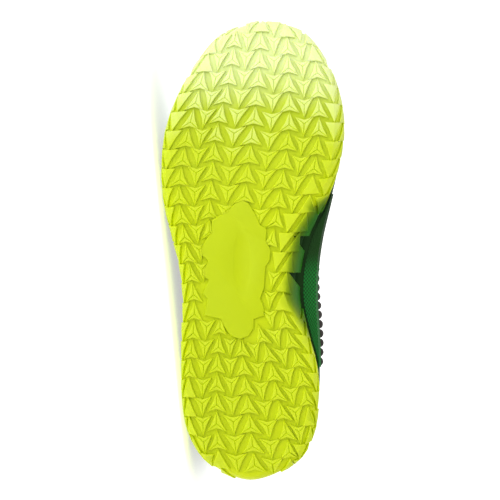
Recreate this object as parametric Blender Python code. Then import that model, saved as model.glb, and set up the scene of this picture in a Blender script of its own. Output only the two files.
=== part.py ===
"""Basketball shoe for the right foot, laced and empty, lying on its outer side.

The shoe is worked out in its own frame: x runs from heel to toe, y to the inner (medial) side
of the foot and z up from the ground that the tread stands on.  Every piece hangs on one empty,
which lays the shoe down: toe to -X, tread to -Y, inner side up.

A place round the shoe is a signed station: 0 at the middle of the heel, +1 at the tip of the toe
along the inner side and -1 at the same tip along the outer side.
"""

import math

import bmesh
import bpy
import numpy as np
from mathutils import Matrix, Vector

# Sizes of the last and of the sole, in metres.
SHOE_LENGTH = 0.300
BALL_WIDTH = 0.117
HEEL_WIDTH = 0.090
COLLAR_HEIGHT = 0.098
INSTEP_HEIGHT = 0.110
TOE_BOX_HEIGHT = 0.056
TOE_SPRING = 0.014
HEEL_RISE = 0.003
RIM_HEIGHT = 0.034
BED_HEIGHT = 0.024
RUBBER_HEIGHT = 0.018
TURN_HEIGHT = 0.010
TREAD_BEVEL = 0.0075

# Walls and clearances.
RUBBER_FLOOR = 0.0025
RUBBER_WALL = 0.0022
UPPER_WALL = 0.0025
COLLAR_PAD = 0.0045
FEATHER_INSET = 0.0065
MIDSOLE_INSET = 0.002
LEDGE_INSET = 0.0010
LEDGE_RISE = 0.0015
INSOLE_THICKNESS = 0.004
TONGUE_THICKNESS = 0.004
COUNTER_THICKNESS = 0.0012
EYESTAY_THICKNESS = 0.0012
GAP = 0.00035
OVERLAY_GAP = 0.0007
CUP_GAP = 0.0012
BASIN_GAP = 0.0009

# Tread.
LUG_HEIGHT = 0.0025
EDGE_LUG_HEIGHT = 0.0012
LUG_SINK = 0.0007
LUG_LENGTH = 0.0116
LUG_PITCH = 0.01235
LUG_FILL = 0.225
LUG_CLIMB = 0.4
PLATE_HEIGHT = 0.0016
TOOTH_HEIGHT = 0.0050
TOOTH_PITCH = 0.0126

# Lacing and side ribs.
EYELET_PAIRS = 6
EYELET_RADIUS = 0.0025
EYELET_MARGIN = 0.0070
EYESTAY_WIDTH = 0.0150
LACE_WIDTH = 0.0060
LACE_THICKNESS = 0.0014
LACE_CLEARANCE = 0.0013
RIB_PITCH = 0.0062
RIB_DEPTH = 0.0030
RIB_HEIGHT = 0.0240

# The throat closes at this station; past it both sides of the upper meet on the ridge of the toe.
VAMP_STATION = 23 / 36
UPPER_COLUMNS = 36
UPPER_LEVELS = 6
RIDGE_STEP = 0.02


def smooth_step(value):
    """0 below 0, 1 above 1 and an S-shaped rise between."""
    value = min(1.0, max(0.0, value))
    return value * value * (3.0 - 2.0 * value)


def mix(first, second, share):
    """The value that lies share of the way from first to second."""
    return first + (second - first) * share


class Table:
    """Rows of named columns; the first column is the key that the others are read by."""

    def __init__(self, names, rows):
        self.names = names.split()
        self.values = np.array(rows, float)
        self.keys = self.values[:, 0]
        gaps = np.diff(self.keys)[:, None]
        steps = np.diff(self.values, axis=0) / gaps
        self.slopes = np.empty_like(self.values)
        self.slopes[0] = steps[0]
        self.slopes[-1] = steps[-1]
        self.slopes[1:-1] = (steps[:-1] * gaps[1:] + steps[1:] * gaps[:-1]) / (gaps[:-1] + gaps[1:])

    def row(self, key):
        """All the columns at key, on a smooth curve through the rows."""
        key = min(self.keys[-1], max(self.keys[0], key))
        below = min(len(self.keys) - 2, max(0, int(np.searchsorted(self.keys, key)) - 1))
        width = self.keys[below + 1] - self.keys[below]
        t = (key - self.keys[below]) / width
        start = (2 * t**3 - 3 * t**2 + 1) * self.values[below]
        start_slope = (t**3 - 2 * t**2 + t) * width * self.slopes[below]
        end = (3 * t**2 - 2 * t**3) * self.values[below + 1]
        end_slope = (t**3 - t**2) * width * self.slopes[below + 1]
        return start + start_slope + end + end_slope

    def read(self, name, key):
        """One column at key."""
        return self.row(key)[self.names.index(name)]


# Along is a share of SHOE_LENGTH, the rest are shares of the half width that half_width gives.
OUTLINE = Table(
    "along rubber_inner rubber_outer rim_inner rim_outer",
    [
        (0.000, 0.00, 0.00, 0.00, 0.00),
        (0.020, 0.44, -0.42, 0.42, -0.42),
        (0.053, 0.74, -0.70, 0.71, -0.69),
        (0.110, 0.93, -0.91, 0.90, -0.86),
        (0.180, 0.99, -0.99, 0.97, -0.92),
        (0.250, 0.96, -1.00, 0.98, -0.93),
        (0.320, 0.84, -1.00, 0.96, -0.93),
        (0.390, 0.73, -0.97, 0.92, -0.93),
        (0.460, 0.69, -0.94, 0.87, -0.93),
        (0.530, 0.73, -0.955, 0.85, -0.96),
        (0.600, 0.85, -0.98, 0.88, -0.965),
        (0.680, 0.98, -0.99, 0.96, -0.965),
        (0.760, 1.04, -0.945, 1.01, -0.92),
        (0.840, 0.985, -0.80, 0.955, -0.78),
        (0.910, 0.84, -0.595, 0.81, -0.575),
        (0.967, 0.62, -0.35, 0.60, -0.33),
        (1.000, 0.19, 0.19, 0.19, 0.19),
    ],
)

# Inset is a share of TREAD_BEVEL, turn of TURN_HEIGHT, top of RUBBER_HEIGHT, rim of RIM_HEIGHT
# and bed of BED_HEIGHT.
SOLE = Table(
    "along inset_inner inset_outer turn_inner turn_outer top_inner top_outer rim_inner rim_outer bed",
    [
        (0.00, 0.85, 0.85, 1.00, 1.00, 0.95, 0.95, 1.00, 1.00, 1.00),
        (0.06, 0.80, 0.80, 1.00, 1.00, 0.95, 0.95, 1.00, 1.00, 1.00),
        (0.16, 0.75, 0.75, 1.00, 1.00, 1.00, 1.00, 0.98, 0.98, 1.00),
        (0.25, 0.72, 0.75, 1.00, 1.00, 0.98, 1.00, 1.00, 0.97, 1.00),
        (0.32, 0.78, 0.80, 1.05, 1.00, 0.94, 1.00, 1.06, 0.96, 1.00),
        (0.36, 1.20, 0.82, 1.20, 1.00, 0.92, 1.00, 1.08, 0.95, 1.00),
        (0.40, 1.90, 0.85, 1.25, 1.05, 0.90, 1.00, 1.08, 0.94, 0.98),
        (0.46, 2.20, 0.90, 1.15, 1.05, 0.83, 1.00, 1.06, 0.93, 0.93),
        (0.53, 2.10, 0.95, 1.08, 1.05, 0.78, 0.97, 1.00, 0.90, 0.85),
        (0.60, 1.75, 1.00, 1.08, 1.05, 0.78, 0.95, 0.92, 0.86, 0.74),
        (0.68, 1.20, 1.00, 1.05, 1.05, 0.93, 0.94, 0.83, 0.80, 0.62),
        (0.76, 1.05, 1.00, 1.00, 1.00, 0.92, 0.92, 0.75, 0.75, 0.56),
        (0.84, 1.10, 1.05, 1.00, 1.00, 0.90, 0.90, 0.71, 0.71, 0.54),
        (0.91, 1.15, 1.15, 1.00, 1.00, 0.90, 0.90, 0.69, 0.69, 0.53),
        (1.00, 1.20, 1.20, 1.00, 1.00, 0.90, 0.90, 0.67, 0.67, 0.52),
    ],
)

# The edge of the upper's opening, then the ridge of its toe.  Along is a share of SHOE_LENGTH,
# middle and half_gap are shares of half the BALL_WIDTH, height of the height that
# opening_height gives, and arch is the angle, as a share of a right angle, that a section of
# the upper turns through.  The bulges are shares of the belly of the upper.
OPENING = Table(
    "station along middle half_gap height arch bulge_inner bulge_outer swell",
    [
        (0.000, 0.047, 0.00, 0.000, 1.000, 0.30, 0.10, 0.10, 0.55),
        (0.050, 0.053, 0.00, 0.210, 0.995, 0.30, 0.12, 0.12, 0.55),
        (0.107, 0.080, 0.00, 0.400, 0.965, 0.32, 0.18, 0.18, 0.50),
        (0.159, 0.127, 0.00, 0.520, 0.915, 0.35, 0.25, 0.22, 0.42),
        (0.219, 0.187, 0.00, 0.600, 0.870, 0.40, 0.45, 0.30, 0.32),
        (0.279, 0.250, 0.00, 0.615, 0.865, 0.46, 0.75, 0.38, 0.22),
        (0.338, 0.313, 0.00, 0.560, 0.910, 0.54, 1.00, 0.45, 0.16),
        (0.385, 0.367, 0.00, 0.465, 0.970, 0.62, 1.10, 0.50, 0.10),
        (0.430, 0.407, 0.00, 0.360, 1.000, 0.68, 1.10, 0.52, 0.06),
        (0.480, 0.467, 0.01, 0.275, 0.925, 0.74, 1.00, 0.50, 0.02),
        (0.530, 0.527, 0.03, 0.230, 0.850, 0.80, 0.80, 0.45, 0.00),
        (0.580, 0.587, 0.05, 0.185, 0.785, 0.86, 0.60, 0.40, 0.00),
        (0.620, 0.637, 0.06, 0.110, 0.755, 0.92, 0.45, 0.35, 0.00),
        (VAMP_STATION, 0.660, 0.065, 0.000, 0.750, 0.95, 0.40, 0.30, 0.00),
        (0.690, 0.702, 0.085, 0.000, 0.760, 1.00, 0.30, 0.25, 0.00),
        (0.740, 0.745, 0.110, 0.000, 0.800, 1.00, 0.20, 0.20, 0.00),
        (0.790, 0.788, 0.140, 0.000, 0.880, 1.00, 0.15, 0.15, 0.00),
        (0.840, 0.828, 0.165, 0.000, 0.975, 1.00, 0.12, 0.12, 0.00),
        (0.890, 0.863, 0.182, 0.000, 0.985, 1.00, 0.10, 0.10, 0.00),
        (0.945, 0.892, 0.193, 0.000, 0.935, 1.00, 0.10, 0.10, 0.00),
        (1.000, 0.915, 0.200, 0.000, 0.880, 1.00, 0.10, 0.10, 0.00),
    ],
)
BELLY = 0.006

# Across the tread the upward lugs stand in columns; each cell is a share of the half width.
LUG_COLUMNS = Table(
    "along edge_outer a b c d e edge_inner",
    [
        (0.000, -1.15, -0.78, -0.40, 0.10, 0.62, 0.95, 1.25),
        (0.116, -1.20, -0.86, -0.47, 0.02, 0.52, 0.88, 1.24),
        (0.196, -1.24, -0.88, -0.47, -0.04, 0.39, 0.80, 1.20),
        (0.259, -1.24, -0.85, -0.46, -0.09, 0.31, 0.70, 1.10),
        (0.355, -1.20, -0.79, -0.42, -0.13, 0.10, 0.49, 0.90),
        (0.464, -1.16, -0.78, -0.47, -0.13, 0.19, 0.50, 0.86),
        (0.557, -1.14, -0.78, -0.47, -0.09, 0.30, 0.63, 0.98),
        (0.625, -1.13, -0.78, -0.43, -0.05, 0.34, 0.67, 1.02),
        (0.750, -1.05, -0.68, -0.37, 0.03, 0.43, 0.76, 1.10),
        (0.875, -0.86, -0.52, -0.22, 0.10, 0.43, 0.74, 1.06),
        (1.000, -0.70, -0.40, -0.15, 0.12, 0.39, 0.66, 0.92),
    ],
)
# How far a column's rows lie from the first column's, as shares of LUG_PITCH.
COLUMN_SHIFT = {"edge_outer": 0.05, "a": 0.00, "b": 0.28, "c": 0.13, "d": -0.17, "e": -0.45, "edge_inner": -0.70}
DOWN_LUG_SHIFT = -0.10
FIRST_LUG_ALONG = 0.6373

# The smooth plate under the arch: corners as shares of SHOE_LENGTH and of the half width.
PLATE_CORNERS = [
    (0.607, -0.07),
    (0.600, -0.01),
    (0.576, 0.07),
    (0.554, 0.12),
    (0.546, 0.20),
    (0.520, 0.20),
    (0.500, 0.26),
    (0.478, 0.26),
    (0.464, 0.21),
    (0.418, 0.20),
    (0.396, 0.15),
    (0.378, 0.20),
    (0.359, 0.21),
    (0.352, 0.06),
    (0.334, 0.06),
    (0.316, -0.01),
    (0.309, -0.13),
    (0.316, -0.27),
    (0.336, -0.37),
    (0.352, -0.41),
    (0.360, -0.65),
    (0.396, -0.59),
    (0.407, -0.66),
    (0.436, -0.55),
    (0.446, -0.66),
    (0.477, -0.53),
    (0.493, -0.63),
    (0.518, -0.55),
    (0.540, -0.45),
    (0.564, -0.44),
    (0.586, -0.24),
    (0.601, -0.16),
]

# Colours as linear values, with roughness.
FINISHES = {
    "outsole": ((0.62, 0.76, 0.02), 0.38),
    "midsole": ((0.02, 0.12, 0.02), 0.60),
    "insole": ((0.03, 0.16, 0.05), 0.85),
    "upper": ((0.01, 0.17, 0.06), 0.80),
    "tongue": ((0.01, 0.13, 0.05), 0.85),
    "heel_counter": ((0.01, 0.11, 0.04), 0.50),
    "eyestay": ((0.02, 0.10, 0.03), 0.55),
    "side_ribs_medial": ((0.03, 0.02, 0.01), 0.40),
    "side_ribs_lateral": ((0.03, 0.02, 0.01), 0.40),
    "laces": ((0.45, 0.62, 0.03), 0.75),
}


def half_width(along):
    """Half the width of the tread at a share of the length, before its own outline."""
    return 0.5 * mix(HEEL_WIDTH, BALL_WIDTH, smooth_step((along - 0.35) / 0.30))


def bend(x):
    """How far the sole rises at x: toe spring in front, a little behind."""
    along = x / SHOE_LENGTH
    toe = max(0.0, (along - 0.74) / 0.26)
    heel = max(0.0, (0.085 - along) / 0.085)
    return TOE_SPRING * toe**2 + HEEL_RISE * heel**2


class Outline:
    """A closed smooth line round the sole, read by signed station."""

    def __init__(self, inner, outer, shrink):
        rows = OUTLINE.values
        middle = 0.5 * SHOE_LENGTH
        x = middle + (rows[:, 0] * SHOE_LENGTH - middle) * (1.0 - shrink / middle)
        widths = np.array([half_width(along) for along in rows[:, 0]])
        sides = [np.stack([x, rows[:, OUTLINE.names.index(name)] * widths], 1) for name in (inner, outer)]
        lengths = np.mean([np.linalg.norm(np.diff(side, axis=0), axis=1) for side in sides], axis=0)
        stations = np.concatenate([[0.0], np.cumsum(lengths)]) / lengths.sum()
        self.length = 2.0 * lengths.sum()
        keys = np.concatenate([-stations[::-1], stations[1:], 2.0 - stations[-2:-4:-1]])
        points = np.concatenate([sides[1][::-1], sides[0][1:], sides[1][-2:-4:-1]])
        keys = np.concatenate([-2.0 + stations[-3:-1], keys])
        points = np.concatenate([sides[0][-3:-1], points])
        self.table = Table("station x y", np.column_stack([keys, points]))

    def point(self, station):
        """The place at a station, as x and y."""
        return self.table.row(station)[1:]

    def outward(self, station):
        """The level direction that leads straight out of the line."""
        ahead = self.point(station + 0.002) - self.point(station - 0.002)
        return np.array([-ahead[1], ahead[0]]) / np.linalg.norm(ahead)

    def inset(self, station, distance):
        """The place that lies distance inside the line."""
        return self.point(station) - self.outward(station) * distance


RUBBER = Outline("rubber_inner", "rubber_outer", 0.0)
RIM = Outline("rim_inner", "rim_outer", MIDSOLE_INSET)


def sided(name, station, along):
    """A SOLE column at a place, for the side that the station is on."""
    ending = "_inner" if station >= 0 else "_outer"
    return SOLE.read(name + ending, along)


def along_of(outline, station):
    """A station's share of the length."""
    return outline.point(station)[0] / SHOE_LENGTH


def wall_point(station, turn, side_depth, floor_depth):
    """A point of the rubber's rounded edge.

    turn runs from 0 on the tread to 1 at the widest line; the depths are how far the surface
    lies inside the one that the lugs' tips touch.
    """
    along = along_of(RUBBER, station)
    width = sided("inset", station, along) * TREAD_BEVEL
    height = sided("turn", station, along) * TURN_HEIGHT
    angle = turn * math.pi / 2
    start = RUBBER.inset(station, width)
    reach = max(width - side_depth, 0.0004) * math.sin(angle)
    x, y = start + RUBBER.outward(station) * reach
    z = floor_depth + (height - floor_depth) * (1.0 - math.cos(angle))
    return (x, y, z + bend(x))


def side_point(station, outline, inset, height):
    """A point at a height beside an outline."""
    x, y = outline.inset(station, inset)
    return (x, y, height + bend(x))


def rubber_top(station, tooth):
    """Height of the rubber's toothed upper edge; tooth is -1 in a notch and 1 on a point."""
    along = along_of(RUBBER, station)
    return sided("top", station, along) * RUBBER_HEIGHT + 0.5 * tooth * TOOTH_HEIGHT


def rim_height(station):
    """Height of the midsole's upper rim."""
    return sided("rim", station, along_of(RIM, station)) * RIM_HEIGHT


def bed_height(along):
    """Height of the bed that the foot stands on."""
    return SOLE.read("bed", along) * BED_HEIGHT


def opening_height(station):
    """The named height that the upper's edge follows at a station."""
    collar = mix(COLLAR_HEIGHT, INSTEP_HEIGHT, smooth_step((abs(station) - 0.28) / 0.15))
    return mix(collar, TOE_BOX_HEIGHT, smooth_step((abs(station) - 0.66) / 0.22))


def opening_point(station):
    """A point of the collar, the throat or, past the vamp, the ridge of the toe."""
    row = dict(zip(OPENING.names, OPENING.row(abs(station))))
    half_ball = 0.5 * BALL_WIDTH
    across = row["half_gap"] if abs(station) < VAMP_STATION else 0.0
    y = (row["middle"] + math.copysign(across, station)) * half_ball
    return np.array([row["along"] * SHOE_LENGTH, y, row["height"] * opening_height(station)])


def upper_point(station, level):
    """A point of the upper's outer surface; level is 0 at the sole and 1 at the opening."""
    row = dict(zip(OPENING.names, OPENING.row(abs(station))))
    angle = min(1.0, row["arch"]) * math.pi / 2
    x, y = RIM.inset(station, FEATHER_INSET)
    foot = np.array([x, y, bed_height(x / SHOE_LENGTH) + bend(x) + GAP])
    top = opening_point(station)
    across = (1.0 - math.cos(level * angle)) / (1.0 - math.cos(angle))
    up = math.sin(level * angle) / math.sin(angle)
    bulge = row["bulge_inner"] if station >= 0 else row["bulge_outer"]
    if abs(station) > 0.9 or abs(station) < 0.1:
        share = smooth_step((1.0 - abs(station)) / 0.1) if abs(station) > 0.9 else smooth_step(abs(station) / 0.1)
        mean = 0.5 * (row["bulge_inner"] + row["bulge_outer"])
        bulge = mix(mean, bulge, share)
    belly = BELLY * (bulge * math.sin(math.pi * level) + row["swell"] * math.sin(2 * math.pi * level))
    point = foot + (top - foot) * np.array([across, across, up])
    point[:2] += RIM.outward(station) * belly
    point[2] += ridge_slope(station, top - foot, angle) * level**2 * (level - 1.0)
    return point


def ridge_slope(station, reach, angle):
    """How much a section must slope at its top, so that both sides meet smoothly on the ridge."""
    if abs(station) < VAMP_STATION:
        return 0.0
    ahead = opening_point(min(1.0, abs(station) + RIDGE_STEP)) - opening_point(abs(station) - RIDGE_STEP)
    flat = np.linalg.norm(ahead[:2])
    speed = np.dot(reach[:2], ahead[:2]) / flat * angle / math.tan(angle / 2)
    return ahead[2] / flat * speed


def upper_normal(station, level):
    """The direction straight out of the upper."""
    step = 0.004
    level = min(1.0 - step, max(step, level))
    if abs(station) > VAMP_STATION:
        level = min(level, 0.985)
    rise = upper_point(station, level + step) - upper_point(station, level - step)
    before = wrapped(station - step)
    after = wrapped(station + step)
    ahead = upper_point(after, level) - upper_point(before, level)
    normal = np.cross(rise, ahead)
    return normal / np.linalg.norm(normal)


def wrapped(station):
    """The same place with its station between -1 and 1."""
    return station - 2.0 if station > 1.0 else station + 2.0 if station < -1.0 else station


def off_upper(station, level, distance):
    """A point that stands distance outside the upper, or inside it where distance is negative."""
    if abs(station) > VAMP_STATION and level > 0.999:
        inner = upper_normal(abs(station), level)
        outer = upper_normal(-abs(station), level)
        normal = (inner + outer) / np.linalg.norm(inner + outer)
    else:
        normal = upper_normal(station, level)
    return upper_point(station, level) + normal * distance


def level_at_height(station, height):
    """The level at which the upper reaches a height, found by halving."""
    low, high = 0.0, 1.0
    for _ in range(24):
        middle = 0.5 * (low + high)
        if upper_point(station, middle)[2] < height:
            low = middle
        else:
            high = middle
    return low


def level_from_edge(station, distance):
    """The level that lies a distance down the surface from the opening."""
    steps = 60
    walked = 0.0
    last = upper_point(station, 1.0)
    for step in range(1, steps):
        here = upper_point(station, 1.0 - step / steps)
        walked += np.linalg.norm(here - last)
        if walked >= distance:
            return 1.0 - step / steps
        last = here
    return 1.0 / steps


def upper_wall(station, level):
    """Thickness of the upper: one layer, padded round the collar."""
    padded = 1.0 - smooth_step((abs(station) - 0.30) / 0.10)
    high = smooth_step((level - 0.50) / 0.20) * (1.0 - 0.6 * smooth_step((level - 0.90) / 0.10))
    return UPPER_WALL + COLLAR_PAD * padded * high


def finish(name, mesh_data):
    """Puts a mesh in the scene as a named object with its own material."""
    mesh = bpy.data.meshes.new(name)
    mesh_data.to_mesh(mesh)
    mesh_data.free()
    body = bpy.data.objects.new(name, mesh)
    bpy.context.scene.collection.objects.link(body)
    if name in FINISHES:
        colour, roughness = FINISHES[name]
        material = bpy.data.materials.new(name)
        material.use_nodes = True
        shader = material.node_tree.nodes["Principled BSDF"]
        shader.inputs["Base Color"].default_value = (*colour, 1.0)
        shader.inputs["Roughness"].default_value = roughness
        shader.inputs["Metallic"].default_value = 0.0
        mesh.materials.append(material)
    return body


def ringed_mesh(rings, rungs=None):
    """A closed solid through rings of equal count, whose first and last ring are filled across.

    rungs lists the places, counted from the toe, where the fillings may bend; the default is all.
    """
    shape = bmesh.new()
    rows = [[shape.verts.new(point) for point in ring] for ring in rings]
    count = len(rings[0])
    for lower, upper in zip(rows, rows[1:]):
        for i in range(count):
            j = (i + 1) % count
            shape.faces.new((lower[i], lower[j], upper[j], upper[i]))
    middle = count // 2
    stops = sorted({0, middle, *(rungs or range(1, middle))})
    for row in (rows[0], rows[-1]):
        for near, far in zip(stops, stops[1:]):
            one_side = list(range(near, far + 1))
            other_side = [-i for i in reversed(one_side) if i not in (0, middle)]
            shape.faces.new([row[i] for i in one_side + other_side])
    bmesh.ops.recalc_face_normals(shape, faces=shape.faces)
    return shape


def walled_mesh(cells, outer, inner):
    """A closed solid between two copies of a sheet.

    cells are faces, each a tuple of vertex keys; outer and inner give a key's two places.
    """
    shape = bmesh.new()
    keys = sorted({key for cell in cells for key in cell})
    front = {key: shape.verts.new(outer(key)) for key in keys}
    back = {key: shape.verts.new(inner(key)) for key in keys}
    edges = {}
    for cell in cells:
        shape.faces.new([front[key] for key in cell])
        shape.faces.new([back[key] for key in reversed(cell)])
        for pair in zip(cell, cell[1:] + cell[:1]):
            same = tuple(sorted(pair))
            edges.setdefault(same, []).append(pair)
    for pairs in edges.values():
        if len(pairs) == 1:
            start, end = pairs[0]
            shape.faces.new((front[end], front[start], back[start], back[end]))
    bmesh.ops.recalc_face_normals(shape, faces=shape.faces)
    return shape


def stations(count):
    """Signed stations evenly round the shoe, from the toe's tip along the outer side."""
    return [-1.0 + 2.0 * i / count for i in range(count)]


def place_count():
    """How many places go round the rubber: two for each tooth, the same on both sides."""
    return 4 * round(RUBBER.length / (2 * TOOTH_PITCH))


def rubber_cup():
    """The outsole's floor and its cup wall with a toothed edge, before the lugs are set on."""
    places = stations(place_count())
    outside = (EDGE_LUG_HEIGHT, LUG_HEIGHT)
    inside = (EDGE_LUG_HEIGHT + RUBBER_WALL, LUG_HEIGHT + RUBBER_FLOOR)
    rings = [[wall_point(s, turn, *outside) for s in places] for turn in (0.0, 0.5, 1.0)]
    for inset in (outside[0], inside[0]):
        rings.append(
            [side_point(s, RUBBER, inset, rubber_top(s, 1 if i % 2 else -1)) for i, s in enumerate(places)]
        )
    rings += [[wall_point(s, turn, *inside) for s in places] for turn in (1.0, 0.0)]
    curved = [i for i in range(1, len(places) // 2) if bend(rings[0][i][0]) > 0.0]
    flat = [i for i in range(1, len(places) // 2) if i not in curved]
    return ringed_mesh(rings, curved + [flat[0], flat[-1]])


class Tread:
    """Places points of the flat lug pattern on the rubber, rolling them up round its edge."""

    def __init__(self):
        self.places = np.linspace(-1.0, 1.0, 721)
        insets = [sided("inset", s, along_of(RUBBER, s)) * TREAD_BEVEL for s in self.places]
        self.starts = np.array([RUBBER.inset(s, inset) for s, inset in zip(self.places, insets)])
        self.outward = np.array([RUBBER.outward(s) for s in self.places])

    def nearest(self, x, y):
        """The nearest station of the tread's edge and how far outside it a point lies."""
        point = np.array([x, y])
        spans = self.starts[1:] - self.starts[:-1]
        shares = np.clip(((point - self.starts[:-1]) * spans).sum(1) / (spans**2).sum(1), 0.0, 1.0)
        feet = self.starts[:-1] + spans * shares[:, None]
        distances = np.linalg.norm(point - feet, axis=1)
        best = int(np.argmin(distances))
        outside = float(np.dot(point - feet[best], self.outward[best]))
        station = mix(self.places[best], self.places[best + 1], shares[best])
        return station, math.copysign(distances[best], outside)

    def point(self, x, y, sink):
        """The lug pattern's point x, y on the tips' surface, or sunk to the lugs' roots."""
        station, outside = self.nearest(x, y)
        side_depth = sink * (EDGE_LUG_HEIGHT + LUG_SINK)
        floor_depth = sink * (LUG_HEIGHT + LUG_SINK)
        if outside <= 0:
            return (x, y, floor_depth + bend(x))
        along = along_of(RUBBER, station)
        width = sided("inset", station, along) * TREAD_BEVEL
        height = sided("turn", station, along) * TURN_HEIGHT
        walked = 0.0
        steps = 24
        for step in range(steps):
            angle = (step + 0.5) / steps * math.pi / 2
            stride = math.hypot(width * math.cos(angle), height * math.sin(angle)) * math.pi / 2 / steps
            if walked + stride >= outside:
                turn = (step + (outside - walked) / stride) / steps
                return wall_point(station, turn, side_depth, floor_depth)
            walked += stride
        limit = rubber_top(station, -1) - GAP
        return side_point(station, RUBBER, side_depth, min(height + outside - walked, limit))


def inside_corners(x, y, corners):
    """Whether a point lies inside a polygon."""
    inside = False
    for (x1, y1), (x2, y2) in zip(corners, corners[1:] + corners[:1]):
        if (y1 > y) != (y2 > y) and x < (x2 - x1) * (y - y1) / (y2 - y1) + x1:
            inside = not inside
    return inside


def covers(corners, others):
    """Whether any corner or middle of a side of one outline lies inside another."""
    points = list(others) + [
        (0.5 * (x1 + x2), 0.5 * (y1 + y2)) for (x1, y1), (x2, y2) in zip(others, others[1:] + others[:1])
    ]
    return any(inside_corners(x, y, corners) for x, y in points)


def plate_corners():
    """The arch plate's corners in metres."""
    return [(along * SHOE_LENGTH, across * half_width(along)) for along, across in PLATE_CORNERS]


def lug_outlines():
    """Three corners of each lug on the flat pattern: its tip and both ends of its base."""
    names = LUG_COLUMNS.names[1:]
    last = len(names) - 1
    lanes = []
    for i, name in enumerate(names):
        beside = (names[max(i - 1, 0)], names[min(i + 1, last)])
        lanes.append(((name, name), beside, 1, COLUMN_SHIFT[name]))
    for left, right in zip(names, names[1:]):
        shift = 0.5 * (COLUMN_SHIFT[left] + COLUMN_SHIFT[right]) + DOWN_LUG_SHIFT
        lanes.append(((left, right), (left, right), -1, shift))
    outlines = []
    rows = int(SHOE_LENGTH / LUG_PITCH) + 2
    for lane, beside, heading, shift in lanes:
        for row in range(-rows, rows):
            tip = FIRST_LUG_ALONG * SHOE_LENGTH + (row + shift) * LUG_PITCH
            base = tip - LUG_LENGTH
            if heading < 0:
                tip, base = base, tip
            if min(tip, base) < 0.0 or max(tip, base) > SHOE_LENGTH:
                continue
            spread = abs(lane_across(beside[1:], base) - lane_across(beside[:1], base))
            if heading > 0 and beside[0] not in lane and beside[1] not in lane:
                spread *= 0.5
            half = LUG_FILL * spread
            y = lane_across(lane, base)
            outlines.append([(tip, lane_across(lane, tip)), (base, y - half), (base, y + half)])
    return outlines


def lane_across(columns, x):
    """Where the middle of one or two lug columns lies across the shoe at x."""
    along = x / SHOE_LENGTH
    shares = [LUG_COLUMNS.read(name, along) for name in columns]
    return sum(shares) / len(shares) * half_width(along)


def lugs_and_plate(tread):
    """Every lug and the arch plate as separate closed bodies in one mesh."""
    shape = bmesh.new()
    corners = plate_corners()
    for outline in lug_outlines():
        x, y = np.mean(outline, axis=0)
        if covers(outline, corners) or covers(corners, outline):
            continue
        station, outside = tread.nearest(x, y)
        along = along_of(RUBBER, station)
        reach = sided("inset", station, along) * TREAD_BEVEL + LUG_CLIMB * sided("turn", station, along) * TURN_HEIGHT
        if outside > reach:
            continue
        prism(shape, [tread.point(px, py, 0.0) for px, py in outline], [tread.point(px, py, 1.0) for px, py in outline])
    floor = LUG_HEIGHT + LUG_SINK
    low = [(x, y, LUG_HEIGHT - PLATE_HEIGHT) for x, y in corners]
    high = [(x, y, floor) for x, y in corners]
    prism(shape, low, high)
    bmesh.ops.recalc_face_normals(shape, faces=shape.faces)
    return shape


def prism(shape, low, high):
    """Adds a closed body between two outlines with the same count of points."""
    bottom = [shape.verts.new(point) for point in low]
    top = [shape.verts.new(point) for point in high]
    shape.faces.new(bottom)
    shape.faces.new(list(reversed(top)))
    for i in range(len(low)):
        j = (i + 1) % len(low)
        shape.faces.new((bottom[j], bottom[i], top[i], top[j]))


def boolean(body, tool, operation, own_crossings=False):
    """Joins or cuts a body with a hidden tool, whose own bodies may cross each other."""
    step = body.modifiers.new(operation.lower(), "BOOLEAN")
    step.operation = operation
    step.solver = "EXACT"
    step.object = tool
    step.use_self = own_crossings
    tool.hide_render = True
    tool.hide_set(True)
    tool.display_type = "WIRE"


def build_outsole():
    """Rubber cup with its lugs and arch plate fused on."""
    body = finish("outsole", rubber_cup())
    tool = finish("lugs", lugs_and_plate(Tread()))
    boolean(body, tool, "UNION", own_crossings=True)
    return body


def build_midsole():
    """Foam between rubber and upper, with a basin that the upper stands in."""
    places = stations(place_count())
    side = EDGE_LUG_HEIGHT + RUBBER_WALL + CUP_GAP
    floor = LUG_HEIGHT + RUBBER_FLOOR + CUP_GAP
    rings = [[wall_point(s, turn, side, floor) for s in places] for turn in (0.0, 1.0)]
    rings.append([side_point(s, RUBBER, side, rubber_top(s, 1) + GAP) for s in places])
    rings.append([side_point(s, RIM, LEDGE_INSET, rubber_top(s, 1) + LEDGE_RISE) for s in places])
    rings.append([side_point(s, RIM, 0.0, rim_height(s)) for s in places])
    rings += [[basin_point(s, share) for s in places] for share in (1.0, 0.0)]
    return finish("midsole", ringed_mesh(rings))


def basin_point(station, share):
    """A point of the basin's wall; share is 0 on its floor and 1 at the rim."""
    x = RIM.inset(station, FEATHER_INSET)[0]
    floor = bed_height(x / SHOE_LENGTH) + bend(x)
    rim_x = RIM.point(station)[0]
    rim = rim_height(station) + bend(rim_x)
    height = mix(floor, rim, share)
    level = level_at_height(station, height) if share else 0.0
    point = upper_point(station, level)
    x, y = point[:2] + RIM.outward(station) * BASIN_GAP
    return (x, y, height)


def build_insole():
    """A loose footbed inside the upper."""
    places = stations(UPPER_COLUMNS)
    edge = FEATHER_INSET + UPPER_WALL + 2 * GAP

    def ring(inset, lift):
        points = []
        for s in places:
            x, y = RIM.inset(s, inset)
            points.append((x, y, bed_height(x / SHOE_LENGTH) + bend(x) + GAP + lift))
        return points

    soft = 0.25 * INSOLE_THICKNESS
    rings = [ring(edge, 0.0), ring(edge, INSOLE_THICKNESS - soft), ring(edge + soft, INSOLE_THICKNESS)]
    return finish("insole", ringed_mesh(rings))


def upper_key(index, level):
    """Names a point of the upper's sheet, the same from both sides where the sides meet."""
    if index == -UPPER_COLUMNS:
        index = UPPER_COLUMNS
    if level == UPPER_LEVELS and abs(index) / UPPER_COLUMNS >= VAMP_STATION - 1e-9:
        index = abs(index)
    return (index, level)


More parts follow.
